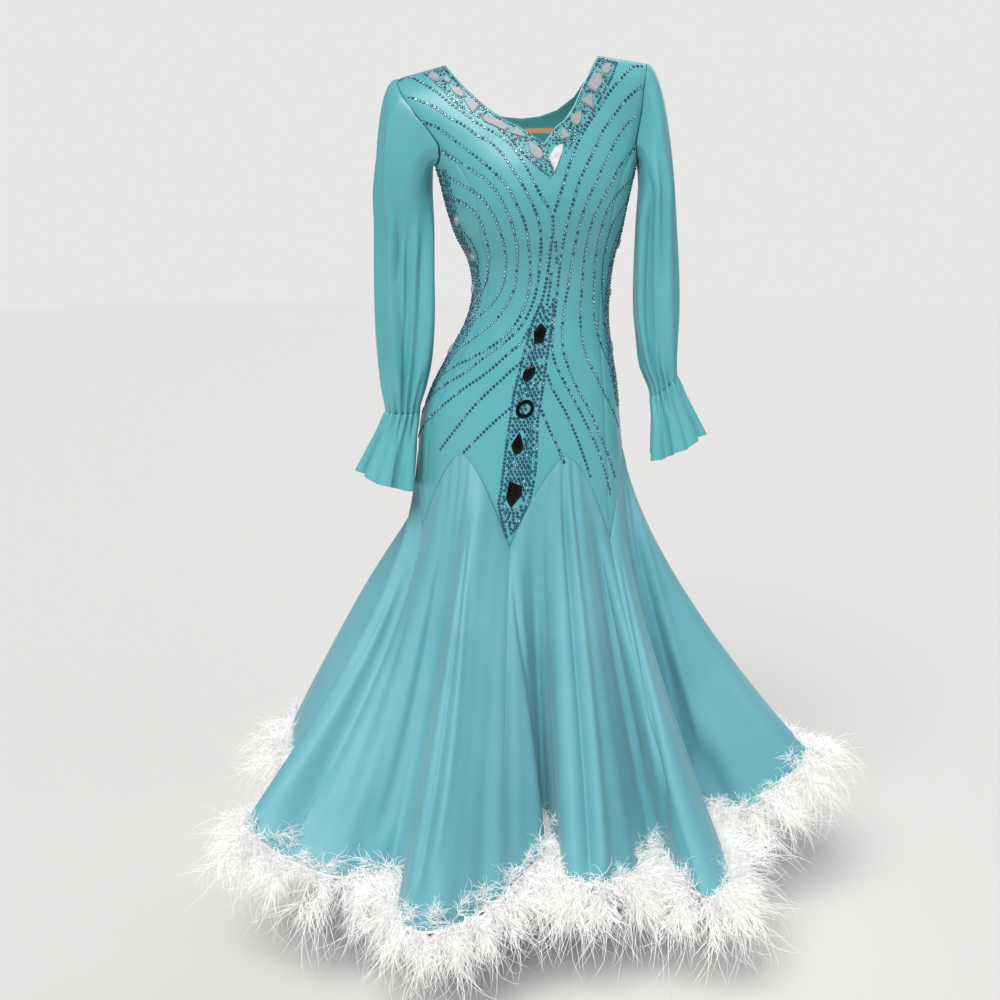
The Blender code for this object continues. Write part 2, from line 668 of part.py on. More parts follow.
def plume_ring(shape, place, out):
    """Four corners of the trim's strip at a place under the hem."""
    top = place - Vector((0, 0, STRIP_DROP))
    low = top - Vector((0, 0, STRIP_TALL))
    half = out * STRIP_DEEP / 2
    return [shape.verts.new(point) for point in (top - half, top + half, low + half, low - half)]


def add_lock(shape, root, out, fall, length, wide, sway):
    """One plume lock grown from the strip's underside: it widens to the middle and ends in a point."""
    centre = sum((vert.co for vert in root), Vector()) / 4
    along = (root[1].co - root[0].co).normalized()
    reach = fall * length + out * sway
    middle = centre + reach * LOCK_MIDDLE
    ring = [
        shape.verts.new(middle + along * wide * a + out * LOCK_THICK * b)
        for a, b in ((-1, 1), (1, 1), (1, -1), (-1, -1))
    ]
    tip = shape.verts.new(centre + reach)
    for side in range(4):
        after = (side + 1) % 4
        shape.faces.new((root[side], root[after], ring[after], ring[side]))
        shape.faces.new((ring[side], ring[after], tip))


def build_feathers():
    for number in range(6):
        grid, normals = gore_grid(number)
        hem, above = grid[0], grid[1]
        falls = [(low - high).normalized() for low, high in zip(hem, above)]
        outs = [Vector((normal.x, normal.y, 0)).normalized() for normal in normals[0]]
        shape = bmesh.new()
        rings = [plume_ring(shape, hem[0], outs[0])]
        locks = []
        for index, (start, end) in enumerate(zip(hem, hem[1:])):
            span = (end - start).length
            count = max(1, round(span / LOCK_PITCH))
            half_root = min(LOCK_ROOT, span / count * LOCK_ROOT_SHARE) / 2
            for lock in range(count):
                middle = (lock + 0.5) / count
                locks.append((len(rings), index, middle, span / count))
                for share in (middle - half_root / span, middle + half_root / span):
                    out = outs[index].lerp(outs[index + 1], share)
                    rings.append(plume_ring(shape, start.lerp(end, share), out))
            rings.append(plume_ring(shape, end, outs[index + 1]))
        shape.faces.new(rings[0][::-1])
        shape.faces.new(rings[-1])
        lock_starts = {lock[0] for lock in locks}
        for index, (one, two) in enumerate(zip(rings, rings[1:])):
            for side in range(4):
                if side == 2 and index in lock_starts:
                    continue
                after = (side + 1) % 4
                shape.faces.new((one[side], two[side], two[after], one[after]))
        for place, (ring, index, share, pitch) in enumerate(locks):
            one, two = rings[ring], rings[ring + 1]
            out = outs[index].lerp(outs[index + 1], share)
            fall = falls[index].lerp(falls[index + 1], share)
            away = Vector((one[0].co.x, one[0].co.y, 0)).normalized()
            fall = (fall + away * LOCK_FLARE).normalized()
            length = LOCK_LENGTHS[(place + number) % len(LOCK_LENGTHS)]
            sway = LOCK_SWAY * (1 if place % 2 else -1)
            wide = min(LOCK_WIDE, pitch * LOCK_WIDE_SHARE)
            spread = (outs[index + 1] - outs[index]).dot((hem[index + 1] - hem[index]).normalized())
            if spread < -TIGHT_FOLD:
                wide, sway = wide * 0.5, 0.0
            add_lock(shape, [one[2], two[2], two[3], one[3]], out, fall, length, wide, sway)
        add_object(f"feather_{number + 1}", shape, FEATHER)


def build_strap():
    grid, normals = [], []
    for z in (STRAP_TOP - STRAP_TALL, STRAP_TOP):
        row, row_normals = [], []
        for step in range(STRAP_COLUMNS + 1):
            half = STRAP_CENTRE + STRAP_HALF * (2 * step / STRAP_COLUMNS - 1)
            angle = angle_of(half, z)
            row.append(body_point(angle, z) - body_normal(angle, z) * (STRAP_GAP + STRAP_THICK))
            row_normals.append(body_normal(angle, z))
        grid.append(row)
        normals.append(row_normals)
    sheet("neck_strap", grid, normals, STRAP_THICK, TAN)


def outline(stone):
    """Corners of a large stone about its middle, as shares of its half width and half height."""
    if stone.shape == "drop":
        corners = [(0, 1.0)]
        corners += [(math.sin(a), -0.25 - 0.75 * math.cos(a)) for a in
                    [math.radians(d) for d in (-110, -65, -22, 22, 65, 110)]][::-1]
        return corners
    shapes = {
        "triangle": [(0, 1), (-1, -1), (1, -1)],
        "kite": [(0, -1), (1, 0.35), (0.2, 1), (-1, 0.35)],
        "shield": [(-0.75, 1), (-0.9, -0.3), (-0.1, -1), (0.95, 0.1), (0.8, 0.75)],
        "pentagon": [(0, 1), (-1, 0.3), (-0.65, -1), (0.65, -1), (1, 0.3)],
        "long": [(-1, 0.35), (-0.8, -0.75), (0.7, -1), (1, 0.1), (0.55, 1)],
    }
    if stone.shape in shapes:
        corners = shapes[stone.shape]
        area = sum(a[0] * b[1] - b[0] * a[1] for a, b in zip(corners, corners[1:] + corners[:1]))
        return corners if area > 0 else corners[::-1]
    count = {"oval": 8, "hexagon": 6, "rounded": 8}[stone.shape]
    return [(math.cos(2 * math.pi * k / count), math.sin(2 * math.pi * k / count)) for k in range(count)]


def cloth_tree(names):
    """Search tree of the outer faces of built panels."""
    points, faces = [], []
    for name in names:
        mesh_data = bpy.data.objects[name].data
        start = len(points)
        points += [vert.co.copy() for vert in mesh_data.vertices]
        faces += [[start + index for index in face.vertices] for face in mesh_data.polygons]
    return BVHTree.FromPolygons(points, faces)


def stone_mesh(stone, cloth, lift):
    """A flat-backed faceted stone whose points are the cloth's, moved out."""
    shape = bmesh.new()
    turn = math.radians(stone.turn)
    per_degree = (body_point(stone.angle + 0.5, stone.z) - body_point(stone.angle - 0.5, stone.z)).length

    def place(right, up, scale, height):
        right, up = right * stone.wide / 2 * scale, up * stone.tall / 2 * scale
        across = right * math.cos(turn) - up * math.sin(turn)
        rise = right * math.sin(turn) + up * math.cos(turn)
        angle, z = stone.angle + across / per_degree, stone.z + rise
        start, normal = body_point(angle, z), body_normal(angle, z)
        seen = cloth.ray_cast(start + normal * STONE_START, -normal, 2 * STONE_START)[0]
        ground = seen or start + normal * SATIN_WALL
        return ground + normal * (lift + height)

    if stone.shape == "ring":
        corners = [(math.cos(math.pi * k / 6), math.sin(math.pi * k / 6)) for k in range(12)]
        levels = RING_LEVELS
    else:
        corners = outline(stone)
        levels = STONE_LEVELS
    loops = [[shape.verts.new(place(r, u, scale, rise)) for r, u in corners] for scale, rise in levels]
    if stone.shape == "ring":
        loops.append(loops[0])
    else:
        for loop, rise in ((loops[0], 0), (loops[-1], STONE_RISE)):
            middle = shape.verts.new(place(0, 0, 1, rise))
            for index, vert in enumerate(loop):
                shape.faces.new((vert, loop[(index + 1) % len(loop)], middle))
    for low, high in zip(loops, loops[1:]):
        for index in range(len(corners)):
            after = (index + 1) % len(corners)
            shape.faces.new((low[index], low[after], high[after]))
            shape.faces.new((low[index], high[after], high[index]))
    return shape


def build_stones():
    cloth = cloth_tree(("front_panel", "side_panel_left", "side_panel_right"))
    for stone in STONES:
        lift = STONE_CLEAR
        shape = stone_mesh(stone, cloth, lift)
        while BVHTree.FromBMesh(shape).overlap(cloth):
            lift += STONE_LIFT
            shape.free()
            shape = stone_mesh(stone, cloth, lift)
        shape.free()
        shape = stone_mesh(stone, cloth, lift + STONE_CLEAR)
        finish = JET if stone.name.startswith("centre") else MIRROR
        add_object(stone.name, shape, finish, STONE_SMOOTH_ANGLE)


def build_dress():
    for old in list(bpy.data.objects):
        bpy.data.objects.remove(old)
    kept = bpy.data.collections.new("ballroom dance dress")
    bpy.context.scene.collection.children.link(kept)
    build_bodice()
    build_sleeves()
    build_gores()
    build_feathers()
    build_strap()
    build_stones()


build_dress()
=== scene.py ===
# Ballroom dance dress: satin bodice, gathered sleeves, chiffon gores and a feather hem.
# Metres, +Z up, the front faces -Y. Angles on the body are degrees from centre front, positive towards +X.

import math

import bmesh
import bpy
import numpy as np
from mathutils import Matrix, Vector


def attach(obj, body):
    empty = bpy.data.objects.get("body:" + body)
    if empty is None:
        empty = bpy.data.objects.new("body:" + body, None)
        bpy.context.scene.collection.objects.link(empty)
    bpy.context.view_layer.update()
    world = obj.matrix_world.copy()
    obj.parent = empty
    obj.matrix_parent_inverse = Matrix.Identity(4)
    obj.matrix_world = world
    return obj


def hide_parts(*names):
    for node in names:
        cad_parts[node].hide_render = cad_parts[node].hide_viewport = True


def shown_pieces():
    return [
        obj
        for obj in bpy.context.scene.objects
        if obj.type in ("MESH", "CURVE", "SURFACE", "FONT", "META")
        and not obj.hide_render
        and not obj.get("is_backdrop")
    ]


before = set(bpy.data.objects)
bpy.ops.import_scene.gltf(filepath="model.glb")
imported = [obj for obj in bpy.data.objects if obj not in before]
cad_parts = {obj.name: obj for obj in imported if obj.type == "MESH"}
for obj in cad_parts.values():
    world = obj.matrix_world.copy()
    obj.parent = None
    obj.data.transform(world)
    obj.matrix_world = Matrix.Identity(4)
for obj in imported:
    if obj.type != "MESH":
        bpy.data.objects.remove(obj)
scene = bpy.context.scene


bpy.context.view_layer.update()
print("frame loaded")


# Camera, floor and light

view = {
    "cameraPlace": (-0.035, -2.600, -0.060),
    "lookDown": 14.4,
    "focal": 1560 / 1000 * 36,      # the photo's focal length in pixels over its width, on a 36 mm sensor
    "floorHeight": -1.475,
    "floorRadius": 9.0,
    "backdropColor": (0.80, 0.80, 0.79, 1),
    "ambientColor": (0.20, 0.21, 0.22, 1),
    "floorColor": (0.70, 0.69, 0.68, 1),
    # direction that the light comes from, softness in degrees, strength and colour
    "suns": {
        "key": ((-0.20, -0.60, 0.78), 36, 3.20, (1.0, 0.99, 0.97)),
        "fill": ((0.70, -0.60, 0.25), 60, 0.30, (0.96, 0.98, 1.0)),
        "back": ((0.45, 0.80, 0.50), 50, 0.80, (1.0, 1.0, 1.0)),
    },
}

cameraData = bpy.data.cameras.new("camera")
cameraData.lens = view["focal"]
cameraData.sensor_width = 36
camera = bpy.data.objects.new("camera", cameraData)
camera.location = view["cameraPlace"]
camera.rotation_euler = (math.radians(90 - view["lookDown"]), 0, 0)
scene.collection.objects.link(camera)
scene.camera = camera
scene.view_settings.view_transform = "Standard"


def addSun(name, direction, softness, strength, color):
    data = bpy.data.lights.new(name, "SUN")
    data.angle = math.radians(softness)
    data.energy = strength
    data.color = color
    light = bpy.data.objects.new(name, data)
    light.rotation_euler = Vector(direction).to_track_quat("Z", "Y").to_euler()
    scene.collection.objects.link(light)


for name, sun in view["suns"].items():
    addSun(name, *sun)

world = bpy.data.worlds.new("studio")
world.use_nodes = True
backdrop = world.node_tree.nodes["Background"]
around = world.node_tree.nodes.new("ShaderNodeBackground")
either = world.node_tree.nodes.new("ShaderNodeMixShader")
rays = world.node_tree.nodes.new("ShaderNodeLightPath")
backdrop.inputs["Color"].default_value = view["backdropColor"]
around.inputs["Color"].default_value = view["ambientColor"]
world.node_tree.links.new(rays.outputs["Is Camera Ray"], either.inputs[0])
world.node_tree.links.new(around.outputs[0], either.inputs[1])
world.node_tree.links.new(backdrop.outputs[0], either.inputs[2])
world.node_tree.links.new(either.outputs[0], world.node_tree.nodes["World Output"].inputs["Surface"])
scene.world = world
print("camera and light set")


# Materials

def addNode(tree, kind, values=(), **settings):
    node = tree.nodes.new(kind)
    for key, value in settings.items():
        setattr(node, key, value)
    for key, value in dict(values).items():
        if isinstance(value, bpy.types.NodeSocket):
            tree.links.new(value, node.inputs[key])
        else:
            node.inputs[key].default_value = value
    return node


def newMaterial(name, **sockets):
    made = bpy.data.materials.new(name)
    made.use_nodes = True
    tree = made.node_tree
    shader = tree.nodes["Principled BSDF"]
    for key, value in sockets.items():
        shader.inputs[key.replace("_", " ")].default_value = value
    return made, tree, shader


def objectPlace(tree):
    return addNode(tree, "ShaderNodeTexCoord").outputs["Object"]


def noise(tree, place, scale, detail=2.0, **more):
    values = {"Vector": place, "Scale": scale, "Detail": detail, **more}
    return addNode(tree, "ShaderNodeTexNoise", values).outputs["Fac"]


def ramp(tree, share, low, first, high, second):
    made = addNode(tree, "ShaderNodeValToRGB", {"Fac": share})
    for element, place, color in zip(made.color_ramp.elements, (low, high), (first, second)):
        element.position = place
        element.color = color
    return made.outputs["Color"]


def bump(tree, height, strength, depth, **more):
    values = {"Height": height, "Strength": strength, "Distance": depth, **more}
    return addNode(tree, "ShaderNodeBump", values).outputs["Normal"]


def clothMaterial(name, light, dark, roughness, sheen, weave, drape):
    made, tree, shader = newMaterial(
        name, Roughness=roughness, Sheen_Weight=sheen, Sheen_Roughness=0.40, Specular_IOR_Level=0.50
    )
    place = objectPlace(tree)
    tone = ramp(tree, noise(tree, place, 5.0, 3.0), 0.35, dark, 0.65, light)
    tree.links.new(tone, shader.inputs["Base Color"])
    stretch = addNode(tree, "ShaderNodeMapping", {"Vector": place, "Scale": (1.0, 1.0, weave["upright"])})
    threads = noise(tree, stretch.outputs["Vector"], weave["scale"])
    folds = noise(tree, place, drape["scale"], Distortion=0.4)
    fine = bump(tree, threads, weave["strength"], weave["depth"])
    soft = bump(tree, folds, drape["strength"], drape["depth"], Normal=fine)
    tree.links.new(soft, shader.inputs["Normal"])
    return made


satin = clothMaterial(
    "turquoise satin", (0.112, 0.420, 0.450, 1), (0.088, 0.380, 0.410, 1), 0.36, 0.15,
    {"scale": 1400, "upright": 0.3, "strength": 0.25, "depth": 0.0003},
    {"scale": 22, "strength": 0.30, "depth": 0.0030},
)
chiffon = clothMaterial(
    "turquoise chiffon", (0.150, 0.415, 0.475, 1), (0.115, 0.370, 0.430, 1), 0.55, 0.20,
    {"scale": 1800, "upright": 0.6, "strength": 0.30, "depth": 0.0003},
    {"scale": 14, "strength": 0.35, "depth": 0.0040},
)

# The faint white emission is painted light: a glow that lifts the shade between the barbs, standing in for
# light passing through them.
feather, featherTree, featherShader = newMaterial(
    "white feather", Roughness=0.80, Sheen_Weight=1.0, Sheen_Roughness=0.5, Specular_IOR_Level=0.2,
    Emission_Color=(1.0, 0.98, 0.965, 1), Emission_Strength=0.21,
)
featherTone = noise(featherTree, objectPlace(featherTree), 40.0)
featherTree.links.new(
    ramp(featherTree, featherTone, 0.0, (0.95, 0.94, 0.93, 1), 1.0, (0.99, 0.98, 0.97, 1)),
    featherShader.inputs["Base Color"],
)


def stoneMaterial(name, dark, bright, metal):
    made, tree, shader = newMaterial(
        name, Roughness=0.28, Metallic=metal, Coat_Weight=0.2, Coat_Roughness=0.15
    )
    # The table facet is painted from the dark stone colour towards a pale highlight by each stone's glint
    # value: a painted glint.
    tableGlint, table = (
        addNode(tree, "ShaderNodeAttribute", attribute_name=key).outputs["Fac"] for key in ("tableGlint", "table")
    )
    share = addNode(tree, "ShaderNodeMath", {0: tableGlint, 1: table}, operation="MULTIPLY").outputs[0]
    mixed = addNode(tree, "ShaderNodeMix", {0: share}, data_type="RGBA")
    colors = [socket for socket in mixed.inputs if socket.type == "RGBA"]
    colors[0].default_value = dark
    colors[1].default_value = bright
    result = next(socket for socket in mixed.outputs if socket.type == "RGBA")
    tree.links.new(result, shader.inputs["Base Color"])
    return made


# the pale second colour is the painted glint on the table facets
smallStone = stoneMaterial("small teal stone", (0.006, 0.052, 0.105, 1), (0.42, 0.80, 0.88, 1), 0.12)


def speckledMaterial(name, first, second, scale, **sockets):
    made, tree, shader = newMaterial(name, **sockets)
    grain = noise(tree, objectPlace(tree), scale, 3.0)
    tree.links.new(ramp(tree, grain, 0.3, first, 0.7, second), shader.inputs["Base Color"])
    tree.links.new(bump(tree, grain, 0.15, 0.0004), shader.inputs["Normal"])
    return made


# The matt grey base stands in for what the mirror stones reflect: a painted reflection of the pale studio,
# lit as a plain surface.
mirrorStone = speckledMaterial(
    "mirror stone, painted reflection", (0.33, 0.33, 0.35, 1), (0.41, 0.41, 0.43, 1), 180,
    Roughness=0.45, Metallic=0.05, Specular_IOR_Level=0.30,
)
# The near-white base stands in for the bright reflections on the kite stone's facets: a painted reflection.
kiteReflectionStone = speckledMaterial(
    "kite stone, painted reflection", (0.74, 0.68, 0.73, 1), (0.93, 0.91, 0.93, 1), 120, Roughness=0.25, Metallic=0.25
)
jetStone = speckledMaterial(
    "black stone", (0.0015, 0.0015, 0.002, 1), (0.004, 0.004, 0.005, 1), 200,
    Roughness=0.22, Specular_IOR_Level=0.2,
)
elastic = speckledMaterial(
    "tan elastic", (0.30, 0.165, 0.060, 1), (0.40, 0.235, 0.095, 1), 900, Roughness=0.75
)
floorPaint = speckledMaterial("pale floor", view["floorColor"], view["floorColor"], 3, Roughness=0.9)

floorMesh = bpy.data.meshes.new("floor")
floorShape = bmesh.new()
bmesh.ops.create_circle(floorShape, cap_ends=True, segments=64, radius=view["floorRadius"])
bmesh.ops.translate(floorShape, vec=(0, 0, view["floorHeight"]), verts=floorShape.verts)
floorShape.to_mesh(floorMesh)
floorShape.free()
floor = bpy.data.objects.new("floor", floorMesh)
floorMesh.materials.append(floorPaint)
scene.collection.objects.link(floor)
floor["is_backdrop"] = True
print("materials made")


# The body's surface that the satin follows

body = {
    "z": (-0.84, -0.72, -0.659, -0.592, -0.533, -0.474, -0.424, -0.373, -0.317, -0.273, -0.219, -0.168,
          -0.121, -0.077, -0.045, -0.022, -0.008, 0.0),
    "centre": (0.0, 0.0, 0.0, -0.001, 0.006, 0.016, 0.026, 0.033, 0.033, 0.028, 0.025, 0.024,
               0.018, 0.008, 0.002, 0.0, 0.0, 0.0),
    "half": (0.191, 0.181, 0.176, 0.169, 0.156, 0.137, 0.12, 0.113, 0.12, 0.137, 0.151, 0.164,
             0.183, 0.208, 0.226, 0.24, 0.247, 0.25),
    "front": (0.138, 0.128, 0.122, 0.114, 0.104, 0.094, 0.086, 0.083, 0.091, 0.106, 0.119, 0.108,
              0.088, 0.07, 0.056, 0.04, 0.024, 0.0),
    "back": (0.142, 0.134, 0.13, 0.122, 0.11, 0.092, 0.078, 0.072, 0.074, 0.08, 0.086, 0.088,
             0.084, 0.074, 0.06, 0.042, 0.024, 0.0),
    "turn": (-9, -8, -7, -6, -4, -1, 2, 4, 6, 8, 10, 10, 9, 6, 3, 1, 0, 0),
    "neckHalf": 0.122, "shoulderHalf": 0.199,
    "shoulderFall": 0.22, "shoulderLean": 0.06, "shoulderFade": 0.16,
}
yoke = {"step": 60.0, "pointZ": -0.772, "archZ": -0.626, "power": 1.6, "radius": 0.15, "gap": 0.0006}
panelEdges = {
    "z": (-0.8, -0.6, -0.56, -0.373, -0.273, -0.219, -0.17, -0.13, -0.077, -0.03, 0.0),
    "front": (60, 60, 60, 56, 50, 48, 54, 63, 61, 56, 52.7),
    "back": (60, 60, 60, 57, 54, 53, 56, 62, 60, 56, 52.7),
}
# stops: shares of the way up the armhole where its upright edges have a corner
armhole = {"z": -0.130, "lowest": -0.164, "round": 0.8, "steps": 6, "stops": (0, 0.39, 0.65, 0.84, 1.0)}


def curveThrough(xs, ys):
    xs, ys = np.array(xs, float), np.array(ys, float)

    def at(t):
        t = np.asarray(t, float)
        low = np.clip(np.searchsorted(xs, t, "right") - 1, 0, len(xs) - 2)
        before, high, after = np.maximum(low - 1, 0), low + 1, np.minimum(low + 2, len(xs) - 1)
        step = xs[high] - xs[low]
        s = np.clip((t - xs[low]) / step, 0, 1)
        m = (ys[high] - ys[before]) / (xs[high] - xs[before]) * step
        n = (ys[after] - ys[low]) / (xs[after] - xs[low]) * step
        return ((2 * s ** 3 - 3 * s ** 2 + 1) * ys[low] + (s ** 3 - 2 * s ** 2 + s) * m
                + (3 * s ** 2 - 2 * s ** 3) * ys[high] + (s ** 3 - s ** 2) * n)

    return at


bodyCurves = {key: curveThrough(body["z"], body[key]) for key in ("centre", "half", "front", "back", "turn")}
edgeCurves = {key: curveThrough(panelEdges["z"], panelEdges[key]) for key in ("front", "back")}


def bodyPoint(angle, z):
    a, turn = np.radians(angle), np.radians(bodyCurves["turn"](z))
    across = bodyCurves["half"](z) * np.sin(a)
    depth = -np.where(np.cos(a) > 0, bodyCurves["front"](z), bodyCurves["back"](z)) * np.cos(a)
    x = bodyCurves["centre"](z) + across * np.cos(turn) - depth * np.sin(turn)
    y = across * np.sin(turn) + depth * np.cos(turn)
    fade = np.maximum(0.0, 1 + z / body["shoulderFade"]) ** 2
    line = body["shoulderLean"] * x - body["shoulderFall"] * np.maximum(0.0, np.abs(x) - body["neckHalf"])
    return np.stack([x, y, z + fade * line], -1)


def unit(vectors):
    return vectors / np.maximum(np.linalg.norm(vectors, axis=-1, keepdims=True), 1e-12)


def bodyNormal(angle, z):
    z = np.minimum(z, -0.004)
    around = bodyPoint(angle + 0.5, z) - bodyPoint(angle - 0.5, z)
    up = bodyPoint(angle, z + 0.002) - bodyPoint(angle, z - 0.002)
    return unit(np.cross(around, up))


def yokeShare(angle):
    return np.abs((angle % yoke["step"]) / yoke["step"] * 2 - 1)


def yokeZ(angle):
    return yoke["pointZ"] + (yoke["archZ"] - yoke["pointZ"]) * (1 - yokeShare(angle) ** yoke["power"])


def yokeGap(angle):
    rise = (yoke["archZ"] - yoke["pointZ"]) * yoke["power"] * yokeShare(angle) ** (yoke["power"] - 1)
    return yoke["gap"] / 2 * np.hypot(1, rise / (yoke["radius"] * math.radians(yoke["step"] / 2)))


lowestZ = yokeZ(yoke["step"]) + yokeGap(yoke["step"])
cornerShare = 1 - armhole["z"] / lowestZ


def lengthAlong(points):
    return np.concatenate([[0], np.cumsum(np.linalg.norm(np.diff(points, axis=0), axis=1))])


def smooth(share):
    return share * share * (3 - 2 * share)


satinWork = {
    "wall": 0.001,
    "gap": 0.123,              # degrees that each panel's side edge is drawn back for the seam
    "seamDip": 0.001,
    "seamWidth": 0.004,
    "sideRadius": 0.14,        # radius that turns degrees from a side seam into metres
    "yokeSlope": 0.6,          # share of the height over the slanting yoke seam that is distance
    # columns on each shoulder, rows below the armhole, beside it and up the side panels
    "shoulderColumns": 4, "lowRows": 41, "armRows": 17, "sideRows": 51,
    # a slight unevenness all over: height, waves round and down in radians a metre, and how they lean
    "waves": {"rise": 0.0003, "around": 61, "down": 47, "lean": 17, "sway": 3, "swayDown": 23},
    # creases: angle and height of both ends, half width and height, which is below zero for a trough
    "creases": (
        (-64, -0.15, -40, -0.168, 0.005, -0.0012),
        (-58, -0.168, -42, -0.186, 0.006, 0.001),
        (-70, -0.215, -50, -0.262, 0.007, -0.0014),
        (-74, -0.24, -56, -0.292, 0.006, 0.0012),
        (-44, -0.2, -38, -0.262, 0.006, 0.0008),
        (62, -0.12, 50, -0.172, 0.006, -0.0014),
        (66, -0.14, 56, -0.2, 0.006, 0.0012),
        (58, -0.09, 52, -0.14, 0.005, 0.001),
        (-52, -0.415, -46, -0.47, 0.006, -0.001),
        (-62, -0.44, -54, -0.5, 0.007, 0.0009),
        (46, -0.43, 40, -0.5, 0.005, -0.0012),
        (52, -0.4, 44, -0.452, 0.006, 0.0008),
        (70, -0.42, 76, -0.52, 0.008, 0.0012),
        (84, -0.47, 86, -0.59, 0.008, -0.0012),
        (-84, -0.5, -86, -0.6, 0.009, 0.0012),
        (128, -0.33, 150, -0.352, 0.008, 0.0014),
        (-128, -0.322, -152, -0.346, 0.008, 0.0014),
        (130, -0.372, 156, -0.386, 0.008, -0.0012),
        (-132, -0.368, -150, -0.38, 0.008, -0.0012),
        (150, -0.2, 140, -0.13, 0.009, 0.001),
        (-148, -0.19, -138, -0.125, 0.009, 0.001),
    ),
}


def satinRelief(angle, z):
    across = np.radians(angle) * yoke["radius"]
    waves = satinWork["waves"]
    sway = waves["sway"] * np.sin(z * waves["swayDown"])
    height = waves["rise"] * np.sin(across * waves["around"] + sway)
    height = height * np.sin(z * waves["down"] + across * waves["lean"])
    for angleA, zA, angleB, zB, width, rise in satinWork["creases"]:
        start = np.array([math.radians(angleA) * yoke["radius"], zA])
        end = np.array([math.radians(angleB) * yoke["radius"], zB])
        line = end - start
        u, v = across - start[0], z - start[1]
        along = (u * line[0] + v * line[1]) / (line @ line)
        off = np.abs(u * line[1] - v * line[0]) / np.linalg.norm(line)
        height = height + rise * np.exp(-(off / width) ** 2) * np.exp(-(np.abs(along - 0.5) / 0.5) ** 4)
    return height


def satinPoint(angle, z, lift=0.0):
    return bodyPoint(angle, z) + bodyNormal(angle, z) * (satinRelief(angle, z) + lift)[..., None]


def clothMesh(name, points, wraps=False, turned=False):
    rows, count = points.shape[:2]
    across = count if wraps else count - 1
    faces = []
    for row in range(rows - 1):
        low, high = row * count, (row + 1) * count
        for index in range(across):
            after = (index + 1) % count
            corners = (low + index, low + after, high + after, high + index)
            faces.append(corners[::-1] if turned else corners)
    mesh = bpy.data.meshes.new(name)
    mesh.from_pydata(points.reshape(-1, 3).tolist(), [], faces)
    mesh.shade_smooth()
    return mesh


def addPiece(name, mesh, material, nodes=(), wall=0.0):
    piece = bpy.data.objects.new(name, mesh)
    mesh.materials.clear()
    mesh.materials.append(material)
    scene.collection.objects.link(piece)
    if wall:
        solid = piece.modifiers.new("wall", "SOLIDIFY")
        solid.thickness = wall
        solid.offset = 0
        piece.modifiers.new("even shading", "WEIGHTED_NORMAL")
    if nodes:
        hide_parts(*nodes)
    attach(piece, "root")
    return piece


def areaOf(points, wraps=False):
    if wraps:
        points = np.concatenate([points, points[:, :1]], 1)
    one, two = points[1:, 1:] - points[:-1, :-1], points[1:, :-1] - points[:-1, 1:]
    return float(np.linalg.norm(np.cross(one, two), axis=-1).sum() / 2)


# Skirt folds at the hem

